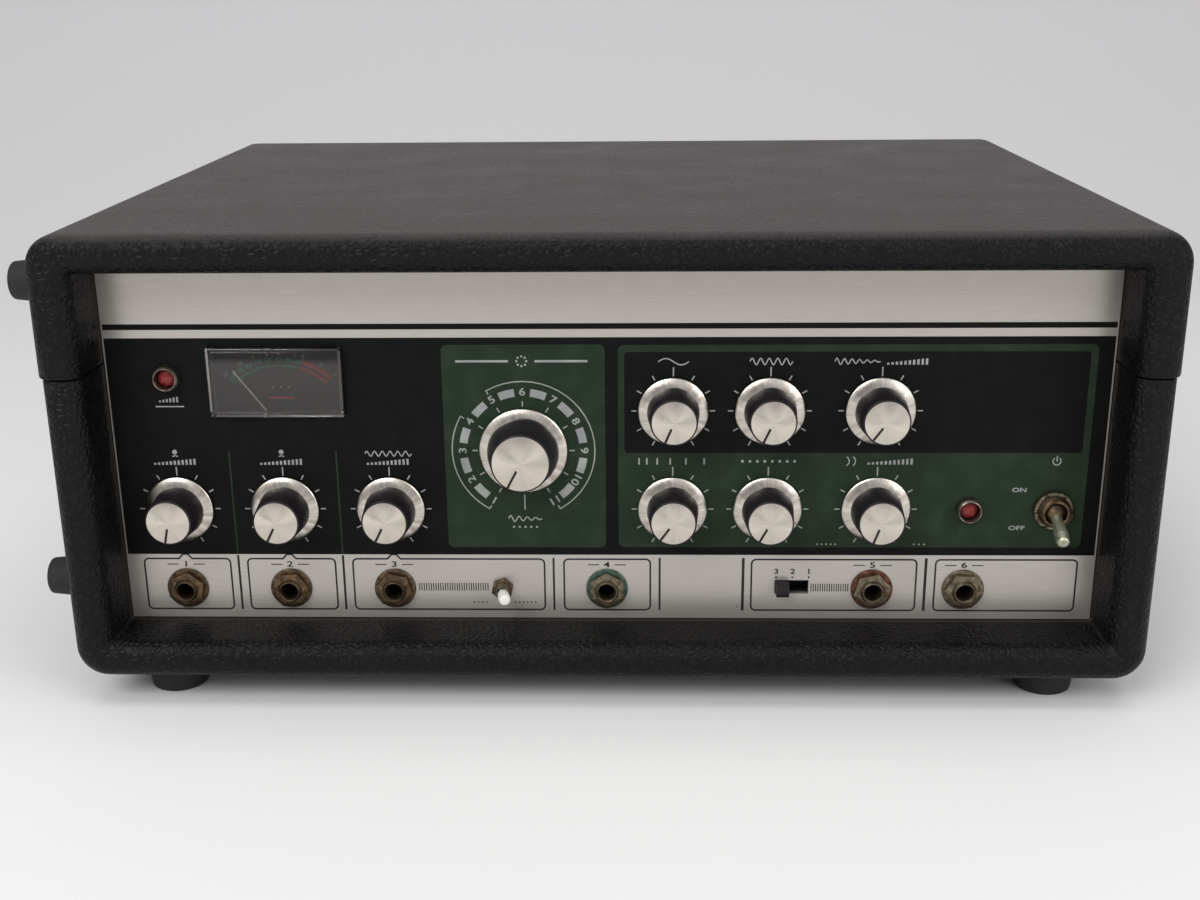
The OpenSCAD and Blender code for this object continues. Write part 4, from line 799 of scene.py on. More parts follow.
signs += steps_mark(column["reverb"] + 9.5, 120.5, 16, 2.6, 10)
for x in [column["rate"] + step for step in (-13, -10, -6, -1, 5, 12)]:
    signs.append(bar(x - 0.3, 79.7, x + 0.3, 82.3))
signs += dots_mark(column["intensity"], 81, 20, 0.55, 8)
x = column["echo"]
for side in (-1, 1):
    signs += stroke(arc(2.2, 35, 145, x - 12 + side * 1.2, 81, 8), FINE_LINE)
signs += steps_mark(x + 5, 81, 18, 2.6, 11) + dots_mark(x - 18.5, 46.9, 7, 0.35, 5)
signs += dots_mark(x + 17.5, 46.9, 4, 0.35, 3)
x = toggle_spot[0]
signs += stroke(arc(1.5, 35, 325, x, 81, 16), FINE_LINE) + [bar(x - 0.25, 80.9, x + 0.25, 83.2)]
x = lamp_spots[0][0]
signs += steps_mark(x, 106.1, 8, 2.5, 6) + [bar(x - 5.5, 102.9, x + 5.5, 103.4)]
marks.append((filled(signs), print_at()))
for text, z in (("ON", 69.3), ("OFF", 53.7)):
    marks.append((lettered(text, 1.75, 1.5), print_at(158.9, z)))
printed("panel_grey_marks", marks, grey_ink, 2)
rules = [bar(x - 0.35, FIELD_LOW + 0.3, x + 0.35, 85.1) for x in (-146, -104.3)]
printed("panel_faint_rules", [(filled(rules), print_at())], green_ink, 1)

# Dark lines on the bare metal: a box round each socket, rules between them and small bars
NOTCH_FOOT, NOTCH_TOP, BOX_LOW, BOX_HIGH, BOX_ROUND = 2.6, 0.9, 18.8, 40.4, 1.8
SLIDE_STOPS = ((66.6, "3"), (73.0, "2"), (79.4, "1"))
lines = []
for (x, z), x0, x1 in zip(jack_spots, (-183.7, -142.4, -100.5), (-149.3, -107.5, -24.6)):
    base = [(x0, BOX_LOW, BOX_ROUND), (x1, BOX_LOW, BOX_ROUND), (x1, BOX_HIGH, BOX_ROUND)]
    notch = [(x + NOTCH_FOOT, BOX_HIGH), (x + NOTCH_TOP, FIELD_LOW), (x - NOTCH_TOP, FIELD_LOW)]
    notch.append((x - NOTCH_FOOT, BOX_HIGH))
    lines += stroke(softened(base + notch + [(x0, BOX_HIGH, BOX_ROUND)]), BOX_LINE, True)
for x0, x1 in ((-16.9, 17.1), (56.9, 121.4), (128.8, 183.7)):
    lines += stroke(rounded(x0, BOX_LOW, x1, BOX_HIGH, BOX_ROUND), BOX_LINE, True)
for x, wide in ((-146, 0.9), (-104.3, 0.9), (-21, 0.8), (20.8, 0.8), (53.6, 1.1), (125, 1.1)):
    lines.append(bar(x - wide / 2, 18.6, x + wide / 2, 41.9 if x < -100 else 41))
for x0, x1, count in ((-74.7, -46.5, 30), (80.3, 95.6, 17)):
    pitch = (x1 - x0) / count
    lines += [bar(x0 + pitch * i, 26.9, x0 + pitch * i + 0.4, 30.2) for i in range(count)]
lines += [disc(x, 32.9, 0.4, 12) for x, figure in SLIDE_STOPS]
lines += dots_mark(mini_spot[0] - 9, 21.9, 5, 0.35, 4) + dots_mark(mini_spot[0] + 9, 21.9, 8, 0.35, 6)
films = [(filled(lines), print_at())]
for i, (x, z) in enumerate(jack_spots):
    films.append((lettered(str(i + 1), 2.4, 1.5), print_at(x, 38.0)))
    films.append((filled([bar(x - 7.5, 37.8, x - 3, 38.2), bar(x + 3, 37.8, x + 7.5, 38.2)]), print_at()))
films += [(lettered(figure, 2.2, 1.4), print_at(x, 35.3)) for x, figure in SLIDE_STOPS]
printed("panel_dark_lines", films, dark_ink)

# ---- Knobs ----
# Each has a black plastic grip on a spun aluminium skirt and a turned aluminium disc let into
# its face, with a groove that points at the dial. A collet grips the shaft.

SMALL_KNOB = (13.3, 10.0, 8.25, 16.5)
LARGE_KNOB = (16.95, 13.8, 10.7, 16.8)
SKIRT_LIFT, SKIRT_TOP, SKIRT_SHEET = 0.9, 3.5, 0.8
POINTER, DISC_THICK, KNOB_EDGE = 0.9, 0.45, 0.14 * MM
SHAFT_RADIUS, SHAFT_LOW, SHAFT_HIGH = 3.0, -2.9, 11
TURNING_MARK, GRIP_CLOUD = 0.35 * MM, 5 * MM
KNOB_POINTS = {
    "mic_one": 192, "mic_two": 207, "instrument": 207, "bass": 203, "treble": 205,
    "reverb": 216, "rate": 216, "intensity": 209, "echo": 200, "mode": 208,
}


def turned_metal(name, pale, dark, roughness, streaks):
    """Aluminium finished on a lathe: rings too fine to see spread its shine into a bow tie."""
    made, shader, where = material(name, {"Metallic": 1, "Anisotropic": 0.8})
    parts = add(where, "SeparateXYZ", {"Vector": where})
    angle = add(where, "Math", (parts.outputs[1], parts.outputs[0]), operation="ARCTAN2")
    fan = add(where, "TexNoise", {"W": angle, "Scale": streaks, "Detail": 4}, noise_dimensions="1D")
    reach = add(where, "VectorMath", {0: where}, operation="LENGTH")
    ring = add(where, "TexNoise", {"W": reach, "Scale": 1 / TURNING_MARK}, noise_dimensions="1D")
    dirt = add(where, "TexNoise", {"Vector": where, "Scale": 0.7 / GRIP_CLOUD, "Detail": 6})
    dirt = add(where, "MapRange", (dirt, 0.6, 0.75, 0, 0.6))
    sheen = add(where, "MapRange", (fan, 0.3, 0.7))
    clean = add(where, "Mix", {0: sheen, 6: dark, 7: pale}, data_type="RGBA")
    worn = add(where, "Mix", {0: dirt, 6: clean, 7: "#8d8478"}, data_type="RGBA")
    dull = add(where, "MapRange", (fan, 0, 1, roughness + 0.05, roughness - 0.05))
    skin(shader, worn, dull, add(where, "Bump", {"Height": ring, "Distance": 0.00002, "Strength": 0.12}))
    plug(shader, {"Tangent": add(where, "Tangent", direction_type="RADIAL", axis="Z")})
    return made


turned_disc = turned_metal("turned_aluminium_disc", "#d9d1c6", "#cbc4b8", 0.36, 1.6)
spun_skirt = turned_metal("spun_aluminium_skirt", "#dbd5cc", "#b3aba0", 0.25, 5.0)

# Black thermoset plastic: nearly smooth, faintly purple, with a clouded polish and dust.
black_plastic = clouded(
    "black_thermoset", {"IOR": 1.55, "Specular IOR Level": 0.3}, (1 / GRIP_CLOUD, 8), ("#120f13", "#262126"),
    dull=(0, 1, 0.24, 0.46),
)


def knob_parts(skirt, grip, cap, height):
    """Skirt, grip, disc and shaft of a knob in millimetres; its groove points along y."""
    sheet = [(0.9 * grip, SKIRT_TOP - SKIRT_SHEET), (skirt - 1.4, SKIRT_LIFT, 0.3), (skirt, SKIRT_LIFT, 0.2)]
    sheet += [(skirt, SKIRT_LIFT + 0.5, 0.25), (skirt - 0.5, SKIRT_LIFT + 0.8, 0.3), (0.9 * grip, SKIRT_TOP)]
    waist, rim, floor = 0.85 * grip, height - 0.3, height - DISC_THICK
    body = [(0, SKIRT_LIFT + 1.2), (waist, SKIRT_LIFT + 1.2), (waist, SKIRT_TOP - 0.7)]
    body += [(grip, SKIRT_TOP - 0.7, 0.2), (grip - 0.2, SKIRT_TOP + 1.2, 1.5), (cap + 0.6, rim, 0.35)]
    body += [(cap + 0.05, rim, 0.1), (cap + 0.05, floor), (0, floor)]
    half = POINTER / 2
    turn = math.degrees(math.asin(half / cap))
    face = arc(cap, turn, 360 - turn, steps=72) + [(-half, 0.3 * cap), (half, 0.3 * cap)]
    shaft = [(0, SHAFT_LOW), (SHAFT_RADIUS, SHAFT_LOW), (SHAFT_RADIUS, SHAFT_HIGH), (0, SHAFT_HIGH)]
    return [spun(sheet, 0, 96, True), spun(body, 1, 96), prism(face, floor, height, 2), turned(shaft, 3, 32)]


for name, place in knob_at.items():
    parts = placed(knob_parts(*(LARGE_KNOB if name == "mode" else SMALL_KNOB)), IN_MM)
    knob = shape("knob_of_" + name, parts, [spun_skirt, black_plastic, turned_disc, zinc_plate])
    bevelled(knob, KNOB_EDGE, 2, 60, 32)
    knob.matrix_world = on_panel(place.x, place.z, math.radians(KNOB_POINTS[name]))
    riding(knob, joints["turn_" + name]["child"], "knob", "knob_" + name)

# ---- Level meter ----
# A clear acrylic cover stands proud of the panel. Behind it is a grey dial plate with a green
# and a red arc and plain numbers, and a fine needle that moves over it.

WINDOW_WALL, WINDOW_EDGE = 1.5, 0.7 * MM
SCALE_RADIUS, SCALE_OUTER, SCALE_TOP = 25.6, 27.9, 33
SCALE_LOW, SCALE_TURN, SCALE_HIGH = -44, 17, 44
SCALE_NUMBERS = (
    (-44, "20"), (-30, "10"), (-19, "7"), (-9, "5"), (0, "3"), (12, "1"), (18, "0"), (32, "3"), (44, "6")
)
ACRYLIC_SCRATCH = 4 * MM

# Cast acrylic: clear, with a few hairline scratches and a film of dust that dulls its edges.
clear_acrylic, shader, where = material("clear_acrylic", {"IOR": 1.49, "Transmission Weight": 1})
haze = add(where, "TexNoise", {"Vector": where, "Scale": 1 / ACRYLIC_SCRATCH, "Detail": 9})
skin(shader, "#cbc6c2", add(where, "MapRange", (haze, 0.45, 1, 0.02, 0.12)))

back, front = (panel_face - window_high.y) / MM, (panel_face - window_low.y) / MM
x0, z0, x1, z1 = window
outer = bar(x0, z0, x1, z1)
inner = bar(x0 + WINDOW_WALL, z0 + WINDOW_WALL, x1 - WINDOW_WALL, z1 - WINDOW_WALL)
loops = [(outer, back), (outer, front), (inner, front - WINDOW_WALL), (inner, back)]
vertices = [(x, z, y) for outline, y in loops for x, z in outline]
faces = [[4, 5, 6, 7], [8, 9, 10, 11]] + walls(0, 4, 4) + walls(8, 12, 4) + walls(12, 0, 4)
cover = shape("meter_window", [moved((vertices, faces, 0), print_at())], [clear_acrylic])
riding(bevelled(cover, WINDOW_EDGE, 3), "cabinet", "clear_acrylic", "meter_lens")

dial_face = ink("grey_dial_paint", "#2c2c2a", "#383733", 0.6)
dial_green = ink("green_dial_ink", "#1f6b55", "#2d7c62", 0.6)
dial_red = ink("red_dial_ink", "#9c2418", "#ad3322", 0.6)
dial_pale = ink("pale_dial_ink", "#7f8580", "#959a94", 0.6)
dress(dial_face, "meter_scale")
dress(black_plastic, "meter_case")
dial_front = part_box("meter_scale")[0].y
pivot_x, pivot_z = on_print(Vector(joints["swing_needle"]["pos_m"]))


def on_dial(x=0.0, z=0.0, turn=0.0):
    """Frame on the dial plate in millimetres, from the needle's pivot."""
    return Matrix.Translation((0, dial_front - panel_face, 0)) @ print_at(pivot_x + x, pivot_z + z, turn)


scale = stroke(arc(SCALE_RADIUS, SCALE_LOW, SCALE_TURN), 0.8)
scale += [ray(a, (26, 28.4), 0.45) for a, _ in SCALE_NUMBERS[:6]]
for start in range(-43, 16, 8):
    scale += stroke(arc(SCALE_OUTER, start, start + 5.5, steps=4), 1.8)
printed("meter_green_scale", [(filled(scale), on_dial())], dial_green, slot="dial")
scale = []
for radius, width in ((SCALE_RADIUS + 0.2, 1.3), (SCALE_OUTER + 0.3, 1.8)):
    scale += stroke(arc(radius, SCALE_TURN + 1, SCALE_HIGH, steps=8), width)
scale.append(bar(-5, 12.2, 5, 13.2))
printed("meter_red_scale", [(filled(scale), on_dial())], dial_red, slot="dial")
numbers = [(figure, angle, *on_arc(SCALE_RADIUS + 4.6, angle)) for angle, figure in SCALE_NUMBERS]
scale = [(lettered(figure, 1.6, 1.1), on_dial(x, z, a)) for figure, a, x, z in numbers if z < SCALE_TOP]
scale.append((filled(dots_mark(0, 17, 6, 0.4, 3)), on_dial()))
printed("meter_numbers", scale, dial_pale, slot="dial")

# Needle: a pressed aluminium strip with cream paint, thin and a little uneven
dress(ink("cream_needle_paint", "#d8d5cb", "#e6e3da", 0.45), "meter_needle")

# ---- Signal lamps ----
# Each is a small red lens behind a turned bezel that the panel's hole holds.

BEZEL_RADIUS, BEZEL_RISE, LAMP_DEEP = 5.0, 4.2, -4
TARNISH = 2.5 * MM


def aged_plate(name, clean, stained, roughness, share=0.5):
    """Old nickel plate: stained in clouds, with the metal showing where it is rubbed."""
    made, shader, where = material(name, {"Metallic": 1})
    ends = share - 0.15, share + 0.15
    cloud = add(where, "TexNoise", {"Vector": where, "Scale": 1 / TARNISH, "Detail": 6})
    pits = add(where, "TexNoise", {"Vector": where, "Scale": 6 / TARNISH, "Detail": 3})
    stain = add(where, "MapRange", (cloud, *ends), interpolation_type="SMOOTHSTEP")
    tint = add(where, "Mix", {0: stain, 6: clean, 7: stained}, data_type="RGBA")
    dull = add(where, "MapRange", (stain, 0, 1, roughness, roughness + 0.22))
    skin(shader, tint, dull, add(where, "Bump", {"Height": pits, "Distance": 0.00006, "Strength": 0.5}))
    return made


# Nickel plate on brass that age has dulled and stained brown in its hollows.
brown_nickel = aged_plate("tarnished_nickel", "#74614b", "#4f4134", 0.36)
olive_nickel = aged_plate("olive_nickel", "#877d69", "#5f5645", 0.34)
red_nickel = aged_plate("red_brown_nickel", "#7c5448", "#5f3a33", 0.38)
teal_nickel = aged_plate("green_stained_nickel", "#5d7268", "#46594f", 0.42)
dark_nickel = aged_plate("dark_nickel", "#a0988a", "#5d554b", 0.3)
bare_nickel = aged_plate("bright_nickel", "#b9b4a8", "#8b8170", 0.2, 0.6)

# Moulded red lens: deep red plastic, a little translucent. Its colour is painted darker towards
# the rim as the surface turns from view, a painted shade that makes its middle look lit.
red_lens, shader, where = material("red_lamp_lens", {"IOR": 1.5, "Transmission Weight": 0.2})
# Painted shade: darker red towards the rim by viewing angle, so the middle looks lit
painted_rim_shade = add(where, "LayerWeight", {"Blend": 0.35}).outputs["Facing"]
film = add(where, "TexNoise", {"Vector": where, "Scale": 1 / TARNISH, "Detail": 6})
heart = add(where, "Mix", {0: film, 6: "#7c0d10", 7: "#94211d"}, data_type="RGBA")
lens_with_painted_light = add(where, "Mix", {0: painted_rim_shade, 6: heart, 7: "#2c0506"}, data_type="RGBA")
skin(shader, lens_with_painted_light, add(where, "MapRange", (film, 0, 1, 0.1, 0.34)))

seat = LAMP_LENS + 0.25
tube = BEZEL_RADIUS - 1.1
bezel = [(seat, LAMP_DEEP), (tube, LAMP_DEEP), (tube, 0), (BEZEL_RADIUS, 0)]
bezel += [(BEZEL_RADIUS, BEZEL_RISE - 0.9, 0.5), (BEZEL_RADIUS - 0.7, BEZEL_RISE, 0.4)]
bezel += [(LAMP_LENS + 0.5, BEZEL_RISE, 0.3), (seat, BEZEL_RISE - 0.8)]
lens = [(0, LAMP_DEEP + 0.2), (LAMP_LENS, LAMP_DEEP + 0.2), (LAMP_LENS, 0.6)]
lens += [(LAMP_LENS * math.cos(0.2 * i), 0.6 + 1.5 * math.sin(0.2 * i)) for i in range(1, 8)] + [(0, 2.1)]
for name, spot in zip(("peak", "power"), lamp_spots):
    at = print_at(*spot)
    ring = shape("bezel_of_" + name + "_lamp", [moved(spun(bezel, closed=True), at)], [dark_nickel])
    dome = shape("lens_of_" + name + "_lamp", [moved(turned(lens), at)], [red_lens])
    riding(ring, "cabinet", "switch_metal", "lamp_bezels")
    riding(dome, "cabinet", "lamp_red", "lamp_lenses")

# ---- Jacks ----
# Quarter inch sockets: a plated nose and bore, held by a hexagon nut over a flat washer. Each
# has aged in its own way.

JACK_NOSE, JACK_BORE, JACK_OUT, JACK_DEEP = 4.75, 3.2, 4.8, -24
JACK_BODY, JACK_BODY_TOP, JACK_BODY_DEEP = 8, -3.7, -28.4
WASHER_RADIUS, WASHER_THICK = 8.2, 1.0
NUT_FLATS, NUT_THICK = 13.0, 2.4
JACK_FINISH = [brown_nickel] * 3 + [olive_nickel] * 3
WASHER_FINISH = [brown_nickel] * 3 + [teal_nickel, red_nickel, olive_nickel]


def hex_nut(flats, bore, low, high, chamfer, number):
    """A nut whose corners are turned down: rings of its outline, drawn in at the face."""
    corners = [(*on_arc(flats / math.sqrt(3), a), 0.5) for a in range(0, 360, 60)]
    outline = [Vector(p) for p in softened(corners)]
    face, shoulder = ([p * min(1, (flats / 2 + out) / p.length) for p in outline] for out in (-0.2, 0.9))
    hole = [p.normalized() * bore for p in outline]
    levels = [(hole, low), (outline, low), (outline, high - chamfer), (shoulder, high - 0.4 * chamfer)]
    levels += [(face, high), (hole, high)]
    n = len(outline)
    faces = []
    for k in range(len(levels)):
        faces += walls(k * n, (k + 1) % len(levels) * n, n)
    return [(p.x, p.y, z) for ring, z in levels for p in ring], faces, number


seat = JACK_NOSE + 0.1
nose = [(JACK_BORE, JACK_DEEP), (JACK_NOSE, JACK_DEEP), (JACK_NOSE, JACK_OUT - 1.3, 0.3)]
nose += [(JACK_NOSE - 0.8, JACK_OUT, 0.4), (JACK_BORE + 0.5, JACK_OUT, 0.4), (JACK_BORE, JACK_OUT - 0.9, 0.3)]
body = [(JACK_NOSE, JACK_BODY_TOP), (JACK_BODY, JACK_BODY_TOP), (JACK_BODY, JACK_BODY_DEEP)]
body += [(0, JACK_BODY_DEEP), (0, JACK_DEEP - 0.5), (JACK_NOSE, JACK_DEEP - 0.5)]
body = [(radius * math.sqrt(2), height) for radius, height in body]
socket = [spun(nose, closed=True), moved(turned(body, 1, 4), rolled(45, "Z"))]
washer = [(seat, 0), (WASHER_RADIUS, 0), (WASHER_RADIUS, WASHER_THICK, 0.35), (seat, WASHER_THICK)]
nut = hex_nut(NUT_FLATS, JACK_NOSE + 0.05, WASHER_THICK, WASHER_THICK + NUT_THICK, 1.0, 1)
nut = [spun(washer, closed=True), nut]
for i, spot in enumerate(jack_spots):
    own, turn = str(i + 1), 17 * i + 8
    held = shape("socket_of_jack_" + own, placed(socket, print_at(*spot)), [JACK_FINISH[i], black_plastic])
    finishes = [WASHER_FINISH[i], JACK_FINISH[i]]
    holder = shape("nut_of_jack_" + own, placed(nut, print_at(*spot, turn)), finishes, 28)
    riding(held, "cabinet", "nickel", "jack_sockets")
    riding(holder, "cabinet", "nickel", "jack_nuts")

# ---- Toggle switches ----
# The power switch: a threaded bush, a heavy ring nut and a bat lever on a ball. The small
# switch: the same in miniature, with a hexagon nut and a white plastic sleeve on its lever.

BUSH_RADIUS, BUSH_OUT, BUSH_WALL = 5.95, 5.5, 1.7
THREAD_PITCH, THREAD_DEEP = 0.9, 0.35
RING_RADIUS, RING_THICK, RING_SLOTS = 7.7, 3.0, 6
SLOT_TURN, SLOT_DEEP = 5.5, 0.9
LEVER_PIVOT = 3.0
BALL, MINI_BALL = 4, 2
BAT_LENGTH, BAT_TIP, BAT_NECK = 17.0, 2.7, 2.0
TOGGLE_TILT, MINI_TILT, MINI_NUT_TURN = 25, 12, 12
TOGGLE_BODY, MINI_BODY = ((-7, -14.5, -23.4), (7, 14.5, -3.6)), ((-6.5, -4, -13.4), (6.5, 4, -3.6))
POT_NUT, MODE_NUT = (10, 3.6), (12, 4.6)


def block(low, high, number=0):
    """A plain block between two corners."""
    return prism(bar(*low[:2], *high[:2]), low[2], high[2], number)


def threaded(inner, outer, low, high):
    """Profile of a threaded tube that stands from low to high."""
    root = outer - THREAD_DEEP
    points = [(inner, low), (root, low)]
    z = low + THREAD_PITCH
    while z < high - THREAD_PITCH:
        points += [(root, z - THREAD_PITCH / 2), (outer, z)]
        z += THREAD_PITCH
    return points + [(root, high - 0.4), (root - 0.4, high), (inner, high)]


def ring_nut(radius, bore, low, high, number):
    """A round nut with spanner slots cut across its face."""
    profile = [(bore, low), (radius, low), (radius, high - 0.2, 0.5)]
    profile += [(radius - 1.1, high, 0.5), (bore, high, 0.3)]
    vertices, faces, _ = spun(profile, number, 96, True)
    pitch = 360 / RING_SLOTS
    sunk = []
    for x, y, z in vertices:
        angle = math.degrees(math.atan2(y, x)) % pitch
        cut = min(angle, pitch - angle) < SLOT_TURN and z > high - 0.6
        sunk.append((x, y, z - SLOT_DEEP if cut else z))
    return sunk, faces, number


def ball(radius, step, count, foot):
    """Profile of a ball from its top down to its foot; the step is an angle in radians."""
    turns = [step * i for i in range(1, count)]
    return [(0, radius)] + [(radius * math.sin(a), radius * math.cos(a)) for a in turns] + [(0, foot)]


def lever(name, parts, materials, place, tilt):
    """A switch's lever, made upright in millimetres and tilted about its pivot."""
    made = shape(name, parts, materials, 40)
    made.data.transform(IN_MM)
    made.matrix_world = on_panel(place.x, place.z) @ Matrix.Translation((0, 0, LEVER_PIVOT * MM)) @ tilt
    return made


# Lever plating that has gone pale and greenish with handling
bat_metal = aged_plate("worn_bat_nickel", "#d2d4bd", "#a9ab93", 0.4)

# White sleeve of moulded nylon over the small lever: milky, smooth, a little yellowed.
white_nylon = clouded(
    "white_nylon", {"Roughness": 0.35, "IOR": 1.53, "Subsurface Weight": 0.1, "Subsurface Scale": 0.002},
    (1 / TARNISH, 4), ("#dfdcd4", "#f2f0ea"),
)

bore = BUSH_RADIUS - BUSH_WALL
throat = [(0, -3.2), (bore - 0.05, -3.2), (bore - 0.05, -2.4), (0, -2.4)]
parts = [turned(threaded(bore, BUSH_RADIUS, -9, BUSH_OUT))]
parts.append(ring_nut(RING_RADIUS, BUSH_RADIUS + 0.1, 0.05, RING_THICK, 1))
parts += [turned(throat, 2, 48), block(*TOGGLE_BODY, 2)]
finishes = [brown_nickel, olive_nickel, black_plastic]
mount = shape("power_switch_bush", placed(parts, print_at(*toggle_spot)), finishes, 30)
riding(mount, "cabinet", "switch_metal", "panel_nuts", "power_switch")
bat = [(0, BAT_LENGTH), (BAT_TIP * 0.9, BAT_LENGTH, 1.6), (BAT_TIP, BAT_LENGTH - 4.5, 3.0)]
bat += [(BAT_NECK, 5.5, 2.0), (BAT_NECK + 0.1, 2.5), (0, 2.5)]
parts = [turned(ball(BALL, 0.1, 27, -3.9), 0, 48), turned(softened(bat, False, 8), 1, 48)]
made = lever("power_bat", parts, [brown_nickel, bat_metal], toggle_at, rolled(TOGGLE_TILT, "X"))
riding(made, "power_lever", "power_bat", "power_lever")

parts = [turned(threaded(2.0, 3.0, -3.5, 5), 0, 48), hex_nut(7.8, 3.05, 0.05, 2.05, 0.7, 1)]
parts = placed(parts, print_at(*mini_spot, MINI_NUT_TURN))
parts.append(moved(block(*MINI_BODY, 2), print_at(*mini_spot)))
mount = shape("mini_switch_bush", parts, [olive_nickel, brown_nickel, black_plastic], 30)
riding(mount, "cabinet", "switch_metal", "panel_nuts", "mini_switch")
stem = turned([(0, 1.5), (0.95, 1.5), (0.95, 9.0), (0, 9.0)], 0, 24)
sleeve = [(0, 9.8), (2.2, 9.8, 0.9), (2.4, 6.5, 1.5), (2.15, 3.2, 0.3), (1.0, 3.2), (1.0, 8.5), (0, 8.5)]
parts = [turned(ball(MINI_BALL, 0.15, 18, -1.9), 0, 40), stem, spun(sleeve, 1, 48)]
made = lever("mini_bat", parts, [bare_nickel, white_nylon], mini_at, rolled(MINI_TILT, "Y"))
riding(made, "mini_lever", "white_sleeve", "mini_lever")

# Nuts of the potentiometers and of the rotary switch stay under the knobs
sizes = [POT_NUT] * len(SMALL_KNOBS) + [MODE_NUT]
nuts = [hex_nut(*size, 0.05, 0.85, 0.2, 0) for size in sizes]
nuts = [moved(nut, print_at(*spots[name])) for nut, name in zip(nuts, SMALL_KNOBS + ["mode"])]
riding(shape("pot_nuts", nuts, [zinc_plate]), "cabinet", "nickel", "panel_nuts")

# ---- Slide switch ----
# A black plastic slider with ribs across its face runs in a slot in the panel.

RIBS, RIB_RISE, RIB_HALF = 4, 0.35, 0.35

slider_low, slider_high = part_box("slide_lever")
half_wide, half_tall = (slider_high.x - slider_low.x) / MM / 2, (slider_high.z - slider_low.z) / MM / 2
out, root = (panel_face - slider_low.y) / MM, (panel_face - slider_high.y) / MM
parts = [block((-half_wide, -half_tall, root), (half_wide, half_tall, out - RIB_RISE))]
for i in range(RIBS):
    x = -half_wide + half_wide * 2 * (i + 0.5) / RIBS
    parts.append(block((x - RIB_HALF, -half_tall + 0.2, out - 0.5), (x + RIB_HALF, half_tall - 0.2, out)))
at = print_at(*on_print((slider_low + slider_high) / 2))
slider = shape("level_slider", placed(parts, at), [black_plastic])
riding(bevelled(slider, 0.15 * MM), "slide_lever", "black_plastic", "slide_lever")
dress(black_plastic, "slide_switch")

# ---- Chassis, rear panel and its fittings ----
# A folded steel tray carries everything. Behind, a black painted sheet with two rows of
# ventilation slots holds the fuse and the bush where the mains lead would enter.

PAINT_GRAIN = 0.5 * MM
FUSE_RADIUS, INLET_RADIUS = 8, 9

# Black stoved paint on steel: low sheen, with a fine orange peel.
black_paint = clouded(
    "stoved_black_paint", {"IOR": 1.5}, (1 / SCUFF, 7), ("#131314", "#1f1f20"),
    dull=(0, 1, 0.36, 0.6), relief=(0.00005, 0.5, 1 / PAINT_GRAIN, 3),
)
dress(zinc_plate, "sub_panel", "chassis_tray", "lid_pins", "pot_bodies", "mode_switch")
dress(black_paint, "rear_panel")


def on_rear(x):
    """Frame of a fitting on the rear panel, in millimetres: z points away from it."""
    return Matrix.Translation((x, rear_inner, (fit_low.z + fit_high.z) / 2)) @ rolled(-90, "X") @ IN_MM


fit_low, fit_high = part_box("rear_fittings")
fuse = [(0, 8), (6.2, 8, 0.8), (7.0, 2.6, 0.8), (FUSE_RADIUS, 2.2, 0.4), (FUSE_RADIUS, 0)]
fuse += [(6, 0), (6, -24), (0, -24)]
inlet = [(3.5, -6), (6.5, -6), (6.5, 0), (INLET_RADIUS, 0), (INLET_RADIUS, 1.6, 0.5)]
inlet += [(6.8, 7, 0.9), (3.5, 7, 0.6)]
grips = [moved(block((-0.45, 6.0, 2.8), (0.45, 6.9, 7.4)), rolled(a, "Z")) for a in range(0, 360, 18)]
parts = placed([spun(fuse)] + grips, on_rear(fit_low.x + FUSE_RADIUS * MM))
parts.append(moved(spun(inlet, closed=True), on_rear(fit_high.x - INLET_RADIUS * MM)))
riding(shape("fuse_and_lead_bush", parts, [black_plastic]), "cabinet", "black_plastic", "rear_fittings")

# ---- Tape deck ----
# A satin steel plate with the tape tank, its clear cover and thumbscrews. One endless tape
# lies in folds in the tank and runs out past five heads to the capstan.

CARD_MARK = 0.3 * MM
THUMB_RADIUS, THUMB_HIGH = 5.0, 4.5
KNURLS, KNURL_DEEP = 36, 0.3
DECK_SCREWS = [(x, y) for x in (-183, 0, 183) for y in (-87, 129)]
HEADS, HEAD_WIDE, HEAD_NOSE, HEAD_TALL = 5, 12.0, 2.0, 14.0
NOSE_HALF = 5.0


def stacked(levels, number=0):
    """A closed part through outlines with the same number of points, each at its height."""
    n = len(levels[0][0])
    vertices = [(x, y, z) for outline, z in levels for x, y in outline]
    faces = [list(range(n)), list(range((len(levels) - 1) * n, len(levels) * n))]
    for k in range(len(levels) - 1):
        faces += walls(k * n, (k + 1) * n, n)
    return vertices, faces, number


def scaled(outline, share):
    return [(x * share, y * share) for x, y in outline]


def upright(x, y, z):
    """Frame of a part that stands at a place, in millimetres; x, y and z are in metres."""
    return Matrix.Translation((x, y, z)) @ IN_MM


def flat_faced(made):
    """Keeps wide flat faces flat in the shading, beside edges that are rounded."""
    made.modifiers.new("weighted", "WEIGHTED_NORMAL").keep_sharp = True
    return applied(made)


# Satin steel plate, brushed across its width and lacquered: cool grey with long fine lines.
satin_steel = brushed(
    "satin_steel", 1, 0.03, CARD_MARK, (0.4 / SCUFF, 5), ("#8e9092", "#aeb0b1"), (0.26, 0.46), 0.3
)
dress(satin_steel, "deck_plate", "tape_tank", "head_mount", "motor")

